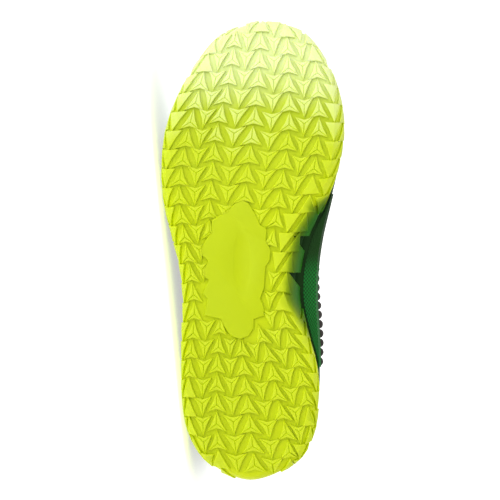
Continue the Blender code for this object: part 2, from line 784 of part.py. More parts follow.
def upper_cells():
    """Faces of the upper's sheet."""
    cells = []
    for i in range(-UPPER_COLUMNS, UPPER_COLUMNS):
        for level in range(UPPER_LEVELS):
            cell = (
                upper_key(i, level),
                upper_key(i + 1, level),
                upper_key(i + 1, level + 1),
                upper_key(i, level + 1),
            )
            cells.append(cell)
    return cells


def build_upper():
    """One hollow wall: open at the collar, the throat and underneath."""

    def place(key, inside):
        station = key[0] / UPPER_COLUMNS
        level = (key[1] / UPPER_LEVELS) ** 0.9
        return off_upper(station, level, -upper_wall(station, level) if inside else 0.0)

    shape = walled_mesh(upper_cells(), lambda key: place(key, False), lambda key: place(key, True))
    return finish("upper", shape)


def patch(name, places, levels, low, high, near, far):
    """An overlay that follows the upper between two levels at a list of stations.

    low and high give the levels at a station; near and far give the distances of its two
    faces from the upper, from the indices of station and level.
    """
    cells = [
        ((i, j), (i + 1, j), (i + 1, j + 1), (i, j + 1)) for i in range(len(places) - 1) for j in range(levels)
    ]

    def place(key, distance):
        station = places[key[0]]
        level = mix(low(station), high(station), key[1] / levels)
        return off_upper(station, level, distance(*key))

    return finish(name, walled_mesh(cells, lambda key: place(key, far), lambda key: place(key, near)))


def above_rim(station):
    """The level just over the midsole's rim."""
    return level_at_height(station, rim_height(station) + bend(RIM.point(station)[0]) + 3 * GAP)


def build_heel_counter():
    """A moulded cup round the back of the heel."""
    reach = 9
    places = [i / UPPER_COLUMNS for i in range(-reach, reach + 1)]

    def high(station):
        return mix(0.62, 0.30, smooth_step(abs(station) * UPPER_COLUMNS / reach))

    def far(i, j):
        return OVERLAY_GAP + COUNTER_THICKNESS

    return patch("heel_counter", places, 4, above_rim, high, lambda i, j: OVERLAY_GAP, far)


def build_side_ribs(name, side):
    """A panel of upright ribs over the midsole's waist."""
    start, end = 0.27, 0.50
    count = round((end - start) * RIM.length / 2 / RIB_PITCH)
    places = [side * mix(start, end, i / (2 * count)) for i in range(2 * count + 1)]

    def high(station):
        return level_at_height(station, rim_height(station) + RIB_HEIGHT * taper(station))

    def taper(station):
        middle = 0.5 * (start + end)
        return 1.0 - 0.45 * abs(abs(station) - middle) / (end - middle)

    def far(i, j):
        crest = RIB_DEPTH if i % 2 else 0.4 * RIB_DEPTH
        return OVERLAY_GAP + (crest if j == 1 else 0.6 * crest)

    return patch(name, places, 2, above_rim, high, lambda i, j: OVERLAY_GAP, far)


def eyelet_station(pair):
    """The station of a pair of eyelets, 0 at the top."""
    return mix(0.435, VAMP_STATION - 0.030, pair / (EYELET_PAIRS - 1))


def build_eyestay():
    """The lace band round the throat, joined in front of it."""
    first, last = 15, 26
    levels = 2

    def key(index, level):
        if level == levels and abs(index) / UPPER_COLUMNS >= VAMP_STATION - 1e-9:
            index = abs(index)
        return (index, level)

    cells = []
    for side in (1, -1):
        for i in range(first, last):
            for j in range(levels):
                cell = (key(side * i, j), key(side * (i + 1), j), key(side * (i + 1), j + 1), key(side * i, j + 1))
                cells.append(cell if side > 0 else cell[::-1])

    def place(point, distance):
        station = point[0] / UPPER_COLUMNS
        low = level_from_edge(station, EYESTAY_WIDTH)
        high = 1.0 if abs(station) >= VAMP_STATION - 1e-9 else level_from_edge(station, 0.001)
        return off_upper(station, mix(low, high, point[1] / levels), distance)

    far = OVERLAY_GAP + EYESTAY_THICKNESS
    shape = walled_mesh(cells, lambda point: place(point, far), lambda point: place(point, OVERLAY_GAP))
    return finish("eyestay", shape)


def eyelet_cutter():
    """Twelve pins that leave the eyelet holes in eyestay and upper."""
    shape = bmesh.new()
    depth = UPPER_WALL + EYESTAY_THICKNESS
    for pair in range(EYELET_PAIRS):
        for side in (1, -1):
            station = side * eyelet_station(pair)
            level = level_from_edge(station, EYELET_MARGIN)
            normal = Vector(upper_normal(station, level))
            turn = normal.to_track_quat("Z", "Y").to_matrix().to_4x4()
            place = Matrix.Translation(Vector(upper_point(station, level)))
            bmesh.ops.create_cone(
                shape,
                cap_ends=True,
                segments=6,
                radius1=EYELET_RADIUS,
                radius2=EYELET_RADIUS,
                depth=4 * depth,
                matrix=place @ turn,
            )
    return finish("eyelet_cutter", shape)


def build_tongue():
    """A padded tongue under the throat, its free end standing above the collar."""
    rows = 9
    first, last = 0.425, VAMP_STATION - 0.012
    shares = (-1.0, -0.8, -0.5, -0.2, 0.2, 0.5, 0.8, 1.0)
    reach = EYELET_MARGIN + 0.006
    below = UPPER_WALL + 2 * GAP

    def edge(station, share):
        under = (abs(share) - 0.5) / 0.5 * reach
        level = level_from_edge(station, max(under, 0.0005))
        return off_upper(station, level, -below)

    def section(station):
        left = edge(-station, 0.5)
        right = edge(station, 0.5)
        points = []
        for share in shares:
            if abs(share) >= 0.5:
                points.append(edge(math.copysign(station, share), share))
            else:
                point = mix(left, right, 0.5 + share)
                point = point + np.array([0.0, 0.0, 0.0012])
                points.append(point)
        return points

    stack = [section(mix(last, first, i / (rows - 1))) for i in range(rows)]
    top = stack[-1]
    lean = np.array([-0.0085, 0.0, 0.0070])
    for i in range(1, 4):
        squeeze = 0.92 - 0.07 * i
        middle = 0.5 * (top[0] + top[-1])
        stack.append([(point - middle) * np.array([1.0, squeeze, 1.0]) + middle + lean * i for point in top])
    cells = []
    for i in range(len(stack) - 1):
        for j in range(len(shares) - 1):
            cells.append(((i, j), (i + 1, j), (i + 1, j + 1), (i, j + 1)))

    def thick(i, j):
        edge_row = i in (0, len(stack) - 1)
        edge_column = j in (0, len(shares) - 1)
        return TONGUE_THICKNESS * (0.45 if edge_row or edge_column else 1.0)

    def downward(i, j):
        before = stack[max(i - 1, 0)][j]
        after = stack[min(i + 1, len(stack) - 1)][j]
        left = stack[i][max(j - 1, 0)]
        right = stack[i][min(j + 1, len(shares) - 1)]
        normal = np.cross(after - before, right - left)
        normal /= np.linalg.norm(normal)
        return normal if normal[2] < 0 else -normal

    shape = walled_mesh(
        cells, lambda key: stack[key[0]][key[1]], lambda key: stack[key[0]][key[1]] + downward(*key) * thick(*key)
    )
    return finish("tongue", shape)


def lace_bar(shape, points, normals):
    """Adds a flat lace along a few points as one closed strip."""
    rings = []
    for i, (point, normal) in enumerate(zip(points, normals)):
        ahead = points[min(i + 1, len(points) - 1)] - points[max(i - 1, 0)]
        ahead /= np.linalg.norm(ahead)
        wide = np.cross(normal, ahead)
        wide *= 0.5 * LACE_WIDTH / np.linalg.norm(wide)
        up = np.cross(ahead, wide)
        up *= 0.5 * LACE_THICKNESS / np.linalg.norm(up)
        rings.append([shape.verts.new(point + a * wide + b * up) for a, b in ((1, 1), (-1, 1), (-1, -1), (1, -1))])
    for low, high in zip(rings, rings[1:]):
        for a in range(4):
            b = (a + 1) % 4
            shape.faces.new((low[a], low[b], high[b], high[a]))
    shape.faces.new(rings[0][::-1])
    shape.faces.new(rings[-1])


def build_laces():
    """Crossings of a flat lace over the tongue, fused into one lattice."""
    lift = OVERLAY_GAP + EYESTAY_THICKNESS + LACE_CLEARANCE + 0.5 * LACE_THICKNESS

    def seat(pair, side):
        station = side * eyelet_station(pair)
        level = level_from_edge(station, EYELET_MARGIN)
        return off_upper(station, level, lift), upper_normal(station, level)

    def lip(pair, side):
        station = side * eyelet_station(pair)
        level = level_from_edge(station, 0.0005)
        return off_upper(station, level, lift), upper_normal(station, level)

    bars = []
    for pair in range(EYELET_PAIRS - 1):
        for side in (1, -1):
            start, first = seat(pair, side)
            end, last = seat(pair + 1, -side)
            near = mix(lip(pair, side)[0], lip(pair + 1, side)[0], 0.2)
            far = mix(lip(pair + 1, -side)[0], lip(pair, -side)[0], 0.2)
            top = np.array([0.0, 0.0, 1.0])
            over = 0.4 * LACE_THICKNESS if side > 0 else 0.0
            middle = 0.5 * (near + far) + top * (0.0010 + over)
            bars.append(([start, near, middle, far, end], [first, 0.5 * (first + top), top, 0.5 * (last + top), last]))
    body = None
    for i, (points, normals) in enumerate(bars):
        shape = bmesh.new()
        lace_bar(shape, points, normals)
        bmesh.ops.recalc_face_normals(shape, faces=shape.faces)
        if body is None:
            body = finish("laces", shape)
        else:
            boolean(body, finish(f"lace_bar_{i}", shape), "UNION")
    return body


def surface_of(bodies):
    """Points of all the bodies, with the centre and volume of each."""
    bpy.context.view_layer.update()
    graph = bpy.context.evaluated_depsgraph_get()
    points = []
    moment = np.zeros(3)
    volume = 0.0
    for body in bodies:
        mesh = body.evaluated_get(graph).to_mesh()
        mesh.calc_loop_triangles()
        corners = np.array([vertex.co for vertex in mesh.vertices])
        triangles = corners[np.array([triangle.vertices for triangle in mesh.loop_triangles])]
        parts = np.einsum("ij,ij->i", triangles[:, 0], np.cross(triangles[:, 1], triangles[:, 2])) / 6
        moment += (parts[:, None] * triangles.sum(1) / 4).sum(0)
        volume += parts.sum()
        points.append(corners)
        body.evaluated_get(graph).to_mesh_clear()
    return np.concatenate(points), moment / volume


def lay_down(bodies):
    """The placement in which the shoe lies on its outer side with its weight inside its feet."""
    points, centre = surface_of(bodies)
    hull = bmesh.new()
    for point in points:
        hull.verts.new(point)
    bmesh.ops.convex_hull(hull, input=hull.verts)
    bmesh.ops.dissolve_limit(hull, angle_limit=math.radians(0.2), verts=hull.verts, edges=hull.edges)
    best = None
    for face in hull.faces:
        normal = np.array(face.normal)
        if normal[1] > -0.8:
            continue
        corners = [np.array(vertex.co) for vertex in face.verts]
        inside = all(
            np.dot(np.cross(after - before, centre - before), normal) > 0
            for before, after in zip(corners, corners[1:] + corners[:1])
        )
        if inside and (best is None or normal[1] < best[1]):
            best = normal
    hull.free()
    down = Vector(best)
    lying = Matrix(((-1, 0, 0), (0, 0, 1), (0, 1, 0))).to_4x4()
    settle = (lying.to_3x3() @ down).rotation_difference(Vector((0, 0, -1))).to_matrix().to_4x4()
    turned = settle @ lying
    world = points @ np.array(turned.to_3x3()).T
    low, high = world.min(0), world.max(0)
    shift = Vector((-(low[0] + high[0]) / 2, -(low[1] + high[1]) / 2, -low[2]))
    return Matrix.Translation(shift) @ turned


def main():
    for old in list(bpy.data.objects):
        bpy.data.objects.remove(old, do_unlink=True)
    upper = build_upper()
    eyestay = build_eyestay()
    cutter = eyelet_cutter()
    boolean(upper, cutter, "DIFFERENCE")
    boolean(eyestay, cutter, "DIFFERENCE")
    bodies = [
        build_outsole(),
        build_midsole(),
        build_insole(),
        upper,
        build_tongue(),
        build_heel_counter(),
        eyestay,
        build_side_ribs("side_ribs_medial", 1),
        build_side_ribs("side_ribs_lateral", -1),
        build_laces(),
    ]
    pose = bpy.data.objects.new("shoe_pose", None)
    bpy.context.scene.collection.objects.link(pose)
    placement = lay_down(bodies)
    for body in bpy.data.objects:
        if body is not pose:
            body.parent = pose
    pose.matrix_world = placement


main()
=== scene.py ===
"""Dresses a right basketball shoe that lies on its outer side, tread to the camera.

The shoe is worked out in its own frame: x from heel to toe, y to the inner side of the foot and
z up from the ground under the tread.  ShoeForm turns that frame into the place where the shoe lies.
A place round the shoe is a signed station: 0 at the middle of the heel, 1 at the toe's tip along
the inner side and -1 at the same tip along the outer side.
"""

import logging
import math
from collections.abc import Callable, Sequence
from dataclasses import dataclass
from dataclasses import field
from enum import Enum
from typing import TypeVar

import bpy
import numpy as np
from mathutils import Euler
from mathutils import Matrix
from mathutils import Vector


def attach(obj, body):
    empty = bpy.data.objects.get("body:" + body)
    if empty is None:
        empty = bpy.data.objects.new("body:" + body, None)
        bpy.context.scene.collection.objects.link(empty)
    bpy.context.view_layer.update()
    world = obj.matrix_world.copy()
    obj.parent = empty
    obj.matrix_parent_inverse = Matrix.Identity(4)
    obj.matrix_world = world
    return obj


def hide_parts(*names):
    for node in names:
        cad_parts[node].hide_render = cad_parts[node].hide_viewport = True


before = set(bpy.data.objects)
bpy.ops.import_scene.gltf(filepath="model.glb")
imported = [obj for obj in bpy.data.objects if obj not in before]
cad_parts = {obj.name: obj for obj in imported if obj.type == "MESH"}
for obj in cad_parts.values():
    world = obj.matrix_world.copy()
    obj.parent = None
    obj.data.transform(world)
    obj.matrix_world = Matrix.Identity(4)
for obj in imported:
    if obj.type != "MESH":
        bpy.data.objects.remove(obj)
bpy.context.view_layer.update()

LOG = logging.getLogger("shoe")
MM = 0.001
Point = np.ndarray
Placer = Callable[[float, float], Sequence[float]]
Ring = Callable[[float], Point]
Value = TypeVar("Value", float, np.ndarray)


def smooth_step(value: float) -> float:
    """Return 0 below 0, 1 above 1 and an S-shaped rise between."""
    value = min(1.0, max(0.0, value))
    return value * value * (3.0 - 2.0 * value)


def mix(first: Value, second: Value, share: float) -> Value:
    """Return the value that lies share of the way from first to second."""
    return first + (second - first) * share


class Table:
    """Rows of named columns, read on a smooth curve by the first column."""

    def __init__(self, names: str, rows: Sequence[Sequence[float]]) -> None:
        """Keep the rows and work out their slopes.

        Args:
            names: The columns' names with spaces between.
            rows: The rows, in rising order of the first column.
        """
        self.names = names.split()
        self.values = np.array(rows, float)
        self.keys = self.values[:, 0]
        gaps = np.diff(self.keys)[:, None]
        steps = np.diff(self.values, axis=0) / gaps
        self.slopes = np.empty_like(self.values)
        self.slopes[0] = steps[0]
        self.slopes[-1] = steps[-1]
        self.slopes[1:-1] = (steps[:-1] * gaps[1:] + steps[1:] * gaps[:-1]) / (gaps[:-1] + gaps[1:])
        self.known: dict[float, np.ndarray] = {}

    def row(self, key: float) -> np.ndarray:
        """Return all the columns at a key.

        Args:
            key: Where to read, held inside the first and last row.

        Returns:
            One value for each column.
        """
        if key in self.known:
            return self.known[key]
        asked = key
        key = min(self.keys[-1], max(self.keys[0], key))
        below = min(len(self.keys) - 2, max(0, int(np.searchsorted(self.keys, key)) - 1))
        width = self.keys[below + 1] - self.keys[below]
        t = (key - self.keys[below]) / width
        start = (2 * t**3 - 3 * t**2 + 1) * self.values[below]
        start_slope = (t**3 - 2 * t**2 + t) * width * self.slopes[below]
        end = (3 * t**2 - 2 * t**3) * self.values[below + 1]
        end_slope = (t**3 - t**2) * width * self.slopes[below + 1]
        row = start + start_slope + end + end_slope
        row.flags.writeable = False
        self.known[asked] = row
        return row

    def read(self, name: str, key: float) -> float:
        """Return one column at a key."""
        return float(self.row(key)[self.names.index(name)])


# Along is a share of the length, the rest are shares of the half width.
OUTLINE = Table(
    "along rubber_inner rubber_outer rim_inner rim_outer",
    [
        (0.000, 0.00, 0.00, 0.00, 0.00),
        (0.020, 0.44, -0.42, 0.42, -0.42),
        (0.053, 0.74, -0.70, 0.71, -0.69),
        (0.110, 0.93, -0.91, 0.90, -0.86),
        (0.180, 0.99, -0.99, 0.97, -0.92),
        (0.250, 0.96, -1.00, 0.98, -0.93),
        (0.320, 0.84, -1.00, 0.96, -0.93),
        (0.390, 0.73, -0.97, 0.92, -0.93),
        (0.460, 0.69, -0.94, 0.87, -0.93),
        (0.530, 0.73, -0.955, 0.85, -0.96),
        (0.600, 0.85, -0.98, 0.88, -0.965),
        (0.680, 0.98, -0.99, 0.96, -0.965),
        (0.760, 1.04, -0.945, 1.01, -0.92),
        (0.840, 0.985, -0.80, 0.955, -0.78),
        (0.910, 0.84, -0.595, 0.81, -0.575),
        (0.967, 0.62, -0.35, 0.60, -0.33),
        (1.000, 0.19, 0.19, 0.19, 0.19),
    ],
)

# Shares of the named heights and widths of the sole.
SOLE = Table(
    "along inset_inner inset_outer turn_inner turn_outer top_inner top_outer rim_inner rim_outer bed",
    [
        (0.00, 0.85, 0.85, 1.00, 1.00, 0.95, 0.95, 1.00, 1.00, 1.00),
        (0.06, 0.80, 0.80, 1.00, 1.00, 0.95, 0.95, 1.00, 1.00, 1.00),
        (0.16, 0.75, 0.75, 1.00, 1.00, 1.00, 1.00, 0.98, 0.98, 1.00),
        (0.25, 0.72, 0.75, 1.00, 1.00, 0.98, 1.00, 1.00, 0.97, 1.00),
        (0.32, 0.78, 0.80, 1.05, 1.00, 0.94, 1.00, 1.06, 0.96, 1.00),
        (0.36, 1.20, 0.82, 1.20, 1.00, 0.92, 1.00, 1.08, 0.95, 1.00),
        (0.40, 1.90, 0.85, 1.25, 1.05, 0.90, 1.00, 1.08, 0.94, 0.98),
        (0.46, 2.20, 0.90, 1.15, 1.05, 0.83, 1.00, 1.06, 0.93, 0.93),
        (0.53, 2.10, 0.95, 1.08, 1.05, 0.78, 0.97, 1.00, 0.90, 0.85),
        (0.60, 1.75, 1.00, 1.08, 1.05, 0.78, 0.95, 0.92, 0.86, 0.74),
        (0.68, 1.20, 1.00, 1.05, 1.05, 0.93, 0.94, 0.83, 0.80, 0.62),
        (0.76, 1.05, 1.00, 1.00, 1.00, 0.92, 0.92, 0.75, 0.75, 0.56),
        (0.84, 1.10, 1.05, 1.00, 1.00, 0.90, 0.90, 0.71, 0.71, 0.54),
        (0.91, 1.15, 1.15, 1.00, 1.00, 0.90, 0.90, 0.69, 0.69, 0.53),
        (1.00, 1.20, 1.20, 1.00, 1.00, 0.90, 0.90, 0.67, 0.67, 0.52),
    ],
)

VAMP_STATION = 23 / 36

# The edge of the upper's opening, then the ridge of its toe.
OPENING = Table(
    "station along middle half_gap height arch bulge_inner bulge_outer swell",
    [
        (0.000, 0.047, 0.00, 0.000, 1.000, 0.30, 0.10, 0.10, 0.55),
        (0.050, 0.053, 0.00, 0.210, 0.995, 0.30, 0.12, 0.12, 0.55),
        (0.107, 0.080, 0.00, 0.400, 0.965, 0.32, 0.18, 0.18, 0.50),
        (0.159, 0.127, 0.00, 0.520, 0.915, 0.35, 0.25, 0.22, 0.42),
        (0.219, 0.187, 0.00, 0.600, 0.870, 0.40, 0.45, 0.30, 0.32),
        (0.279, 0.250, 0.00, 0.615, 0.865, 0.46, 0.75, 0.38, 0.22),
        (0.338, 0.313, 0.00, 0.560, 0.910, 0.54, 1.00, 0.45, 0.16),
        (0.385, 0.367, 0.00, 0.465, 0.970, 0.62, 1.10, 0.50, 0.10),
        (0.430, 0.407, 0.00, 0.360, 1.000, 0.68, 1.10, 0.52, 0.06),
        (0.480, 0.467, 0.01, 0.275, 0.925, 0.74, 1.00, 0.50, 0.02),
        (0.530, 0.527, 0.03, 0.230, 0.850, 0.80, 0.80, 0.45, 0.00),
        (0.580, 0.587, 0.05, 0.185, 0.785, 0.86, 0.60, 0.40, 0.00),
        (0.620, 0.637, 0.06, 0.110, 0.755, 0.92, 0.45, 0.35, 0.00),
        (VAMP_STATION, 0.660, 0.065, 0.000, 0.750, 0.95, 0.40, 0.30, 0.00),
        (0.690, 0.702, 0.085, 0.000, 0.760, 1.00, 0.30, 0.25, 0.00),
        (0.740, 0.745, 0.110, 0.000, 0.800, 1.00, 0.20, 0.20, 0.00),
        (0.790, 0.788, 0.140, 0.000, 0.880, 1.00, 0.15, 0.15, 0.00),
        (0.840, 0.828, 0.165, 0.000, 0.975, 1.00, 0.12, 0.12, 0.00),
        (0.890, 0.863, 0.182, 0.000, 0.985, 1.00, 0.10, 0.10, 0.00),
        (0.945, 0.892, 0.193, 0.000, 0.935, 1.00, 0.10, 0.10, 0.00),
        (1.000, 0.915, 0.200, 0.000, 0.880, 1.00, 0.10, 0.10, 0.00),
    ],
)

# Columns of lugs across the tread; each cell is a share of the half width.
LUG_COLUMNS = Table(
    "along edge_outer a b c d e edge_inner",
    [
        (0.000, -1.15, -0.78, -0.40, 0.10, 0.62, 0.95, 1.25),
        (0.116, -1.20, -0.86, -0.47, 0.02, 0.52, 0.88, 1.24),
        (0.196, -1.24, -0.88, -0.47, -0.04, 0.39, 0.80, 1.20),
        (0.259, -1.24, -0.85, -0.46, -0.09, 0.31, 0.70, 1.10),
        (0.355, -1.20, -0.79, -0.42, -0.13, 0.10, 0.49, 0.90),
        (0.464, -1.16, -0.78, -0.47, -0.13, 0.19, 0.50, 0.86),
        (0.557, -1.14, -0.78, -0.47, -0.09, 0.30, 0.63, 0.98),
        (0.625, -1.13, -0.78, -0.43, -0.05, 0.34, 0.67, 1.02),
        (0.750, -1.05, -0.68, -0.37, 0.03, 0.43, 0.76, 1.10),
        (0.875, -0.86, -0.52, -0.22, 0.10, 0.43, 0.74, 1.06),
        (1.000, -0.70, -0.40, -0.15, 0.12, 0.39, 0.66, 0.92),
    ],
)

# How far each column is shifted along the shoe, in pitches.
COLUMN_SHIFT = {
    "edge_outer": 0.05,
    "a": 0.00,
    "b": 0.28,
    "c": 0.13,
    "d": -0.17,
    "e": -0.45,
    "edge_inner": -0.70,
}

# Corners of the smooth arch plate, as shares of the length and of the half width.
PLATE_CORNERS = [
    (0.607, -0.07),
    (0.600, -0.01),
    (0.576, 0.07),
    (0.554, 0.12),
    (0.546, 0.20),
    (0.520, 0.20),
    (0.500, 0.26),
    (0.478, 0.26),
    (0.464, 0.21),
    (0.418, 0.20),
    (0.396, 0.15),
    (0.378, 0.20),
    (0.359, 0.21),
    (0.352, 0.06),
    (0.334, 0.06),
    (0.316, -0.01),
    (0.309, -0.13),
    (0.316, -0.27),
    (0.336, -0.37),
    (0.352, -0.41),
    (0.360, -0.65),
    (0.396, -0.59),
    (0.407, -0.66),
    (0.436, -0.55),
    (0.446, -0.66),
    (0.477, -0.53),
    (0.493, -0.63),
    (0.518, -0.55),
    (0.540, -0.45),
    (0.564, -0.44),
    (0.586, -0.24),
    (0.601, -0.16),
]

# Where the painted shade starts to darken the rubber up the waist's inner wall: millimetres from the middle
# line.
PAINTED_SHADE_LINE = Table(
    "along across",
    [
        (0.000, 60.0),
        (0.220, 52.0),
        (0.250, 43.5),
        (0.287, 37.6),
        (0.327, 31.5),
        (0.367, 24.0),
        (0.395, 19.5),
        (0.430, 19.5),
        (0.483, 21.5),
        (0.537, 25.5),
        (0.570, 31.0),
        (0.607, 42.0),
        (0.650, 60.0),
        (1.000, 60.0),
    ],
)

# How the shoe lies on its outer side: over past upright, the toe up, and turned in plan, in degrees.
LYING_ROLL = 97.21983
LYING_TILT = -5.94881
LYING_TURN = 179.62437
LYING_PLACE = Vector((148.8383 * MM, -62.3430 * MM, 39.7700 * MM))
LYING_ANGLES = Euler([math.radians(angle) for angle in (LYING_ROLL, LYING_TILT, LYING_TURN)])
LYING = Matrix.Translation(LYING_PLACE) @ LYING_ANGLES.to_matrix().to_4x4()


@dataclass
class Outline:
    """A closed smooth line round the sole, read by signed station."""

    inner: str
    outer: str
    shrink: float
    length: float
    widths: Callable[[float], float]
    round_length: float = 0.0

    def __post_init__(self) -> None:
        """Lay the two sides of the line end to end in one table."""
        rows = OUTLINE.values
        middle = 0.5 * self.length
        x = middle + (rows[:, 0] * self.length - middle) * (1.0 - self.shrink / middle)
        widths = np.array([self.widths(along) for along in rows[:, 0]])
        sides = [
            np.stack([x, rows[:, OUTLINE.names.index(name)] * widths], 1) for name in (self.inner, self.outer)
        ]
        lengths = np.mean([np.linalg.norm(np.diff(side, axis=0), axis=1) for side in sides], axis=0)
        stations = np.concatenate([[0.0], np.cumsum(lengths)]) / lengths.sum()
        self.round_length = 2.0 * float(lengths.sum())
        keys = np.concatenate([-stations[::-1], stations[1:], 2.0 - stations[-2:-4:-1]])
        points = np.concatenate([sides[1][::-1], sides[0][1:], sides[1][-2:-4:-1]])
        keys = np.concatenate([-2.0 + stations[-3:-1], keys])
        points = np.concatenate([sides[0][-3:-1], points])
        self.table = Table("station x y", np.column_stack([keys, points]))

    def point(self, station: float) -> Point:
        """Return the place at a station, as x and y."""
        return self.table.row(station)[1:]

    def outward(self, station: float) -> Point:
        """Return the level direction that leads straight out of the line."""
        ahead = self.point(station + 0.002) - self.point(station - 0.002)
        return np.array([-ahead[1], ahead[0]]) / np.linalg.norm(ahead)

    def inset(self, station: float, distance: float) -> Point:
        """Return the place that lies a distance inside the line."""
        return self.point(station) - self.outward(station) * distance


@dataclass
class ShoeForm:
    """The sizes of the last and the sole, and the surfaces that follow from them."""

    length: float = 300 * MM
    ball_width: float = 117 * MM
    heel_width: float = 90 * MM
    collar_height: float = 98 * MM
    instep_height: float = 110 * MM
    toe_box_height: float = 56 * MM
    toe_spring: float = 14 * MM
    heel_rise: float = 3 * MM
    rim_height: float = 34 * MM
    bed_height: float = 24 * MM
    rubber_height: float = 18 * MM
    turn_height: float = 10 * MM
    tread_bevel: float = 7.5 * MM
    tooth_height: float = 5 * MM
    tooth_pitch: float = 12.6 * MM
    feather_inset: float = 6.5 * MM
    midsole_inset: float = 2 * MM
    belly: float = 6 * MM
    gap: float = 0.35 * MM

    def __post_init__(self) -> None:
        """Work out the two outlines."""
        self.rubber = Outline("rubber_inner", "rubber_outer", 0.0, self.length, self.half_width)
        self.rim = Outline("rim_inner", "rim_outer", self.midsole_inset, self.length, self.half_width)

    def half_width(self, along: float) -> float:
        """Return half the width of the tread at a share of the length."""
        return 0.5 * mix(self.heel_width, self.ball_width, smooth_step((along - 0.35) / 0.30))

    def bend(self, x: float) -> float:
        """Return how far the sole rises at a place.

        Args:
            x: How far it lies in front of the heel.

        Returns:
            The rise over flat ground.
        """
        along = x / self.length
        toe = max(0.0, (along - 0.74) / 0.26)
        heel = max(0.0, (0.085 - along) / 0.085)
        return self.toe_spring * toe**2 + self.heel_rise * heel**2

    def sided(self, name: str, station: float, along: float) -> float:
        """Return a column of the sole's table for the side that the station is on."""
        return SOLE.read(name + ("_inner" if station >= 0 else "_outer"), along)

    def along_of(self, outline: Outline, station: float) -> float:
        """Return a station's share of the length."""
        return float(outline.point(station)[0]) / self.length

    def bevel_of(self, station: float) -> tuple[float, float]:
        """Return the size of the rubber's rounded edge.

        Args:
            station: The place round the shoe.

        Returns:
            Its width and its height.
        """
        along = self.along_of(self.rubber, station)
        width = self.sided("inset", station, along) * self.tread_bevel
        return width, self.sided("turn", station, along) * self.turn_height

    def wall_point(self, station: float, turn: float, side_depth: float, floor_depth: float) -> Point:
        """Return a point of the rubber's rounded edge.

        Args:
            station: The place round the shoe.
            turn: 0 on the tread and 1 at the widest line.
            side_depth: How far the surface lies inside the lugs' tips at the side.
            floor_depth: The same on the tread.

        Returns:
            The point in the shoe's own frame.
        """
        width, height = self.bevel_of(station)
        angle = turn * math.pi / 2
        reach = max(width - side_depth, 0.4 * MM) * math.sin(angle)
        x, y = self.rubber.inset(station, width) + self.rubber.outward(station) * reach
        z = floor_depth + (height - floor_depth) * (1.0 - math.cos(angle))
        return np.array([x, y, z + self.bend(x)])

    def side_point(self, station: float, outline: Outline, inset: float, height: float) -> Point:
        """Return a point at a height beside an outline."""
        x, y = outline.inset(station, inset)
        return np.array([x, y, height + self.bend(x)])

    def rubber_top(self, station: float, tooth: float) -> float:
        """Return the height of the rubber's toothed edge; tooth is -1 in a notch and 1 on a point."""
        along = self.along_of(self.rubber, station)
        return self.sided("top", station, along) * self.rubber_height + 0.5 * tooth * self.tooth_height

    def rim_top(self, station: float) -> float:
        """Return the height of the midsole's upper rim."""
        return self.sided("rim", station, self.along_of(self.rim, station)) * self.rim_height

    def bed(self, x: float) -> float:
        """Return the height of the bed that the foot stands on, with the sole's bend."""
        return SOLE.read("bed", x / self.length) * self.bed_height + self.bend(x)

    def opening_point(self, station: float) -> Point:
        """Return a point of the collar, the throat or, past the vamp, the ridge of the toe.

        Args:
            station: The place round the shoe.

        Returns:
            The point in the shoe's own frame.
        """
        row = dict(zip(OPENING.names, OPENING.row(abs(station))))
        half_ball = 0.5 * self.ball_width
        collar = mix(self.collar_height, self.instep_height, smooth_step((abs(station) - 0.28) / 0.15))
        height = mix(collar, self.toe_box_height, smooth_step((abs(station) - 0.66) / 0.22))
        across = max(0.0, row["half_gap"]) if abs(station) < VAMP_STATION else 0.0
        y = (row["middle"] + math.copysign(across, station)) * half_ball
        return np.array([row["along"] * self.length, y, row["height"] * height])

    def upper_point(self, station: float, level: float) -> Point:
        """Return a point of the upper's outer surface.

        Args:
            station: The place round the shoe.
            level: 0 at the sole and 1 at the opening.

        Returns:
            The point in the shoe's own frame.
        """
        row = dict(zip(OPENING.names, OPENING.row(abs(station))))
        angle = min(1.0, row["arch"]) * math.pi / 2
        x, y = self.rim.inset(station, self.feather_inset)
        foot = np.array([x, y, self.bed(x) + self.gap])
        top = self.opening_point(station)
        across = (1.0 - math.cos(level * angle)) / (1.0 - math.cos(angle))
        up = math.sin(level * angle) / math.sin(angle)
        bulge = row["bulge_inner"] if station >= 0 else row["bulge_outer"]
        share = min(smooth_step((1.0 - abs(station)) / 0.1), smooth_step(abs(station) / 0.1))
        bulge = mix(0.5 * (row["bulge_inner"] + row["bulge_outer"]), bulge, share)
        waves = bulge * math.sin(math.pi * level) + row["swell"] * math.sin(2 * math.pi * level)
        point = foot + (top - foot) * np.array([across, across, up])
        point[:2] += self.rim.outward(station) * self.belly * waves
        point[2] += self.ridge_slope(station, top - foot, angle) * level**2 * (level - 1.0)
        return point

    def ridge_slope(self, station: float, reach: Point, angle: float) -> float:
        """Return how a section slopes at its top, so that both sides meet on the ridge.

        Args:
            station: The place round the shoe.
            reach: The way from the section's foot to its top.
            angle: How far the section turns.

        Returns:
            The slope, and 0 behind the toe.
        """
        if abs(station) < VAMP_STATION:
            return 0.0
        ahead = self.opening_point(min(1.0, abs(station) + 0.02)) - self.opening_point(abs(station) - 0.02)
        flat = np.linalg.norm(ahead[:2])
        speed = np.dot(reach[:2], ahead[:2]) / flat * angle / math.tan(angle / 2)
        return float(ahead[2] / flat * speed)

    def upper_normal(self, station: float, level: float) -> Point:
        """Return the direction straight out of the upper.

        Args:
            station: The place round the shoe.
            level: 0 at the sole and 1 at the opening.

        Returns:
            A direction of length 1.
        """
        step = 0.004
        level = min(1.0 - step, max(step, level))
        if abs(station) > VAMP_STATION:
            level = min(level, 0.985)
        rise = self.upper_point(station, level + step) - self.upper_point(station, level - step)
        before = self.upper_point(wrapped(station - step), level)
        normal = np.cross(rise, self.upper_point(wrapped(station + step), level) - before)
        return normal / np.linalg.norm(normal)

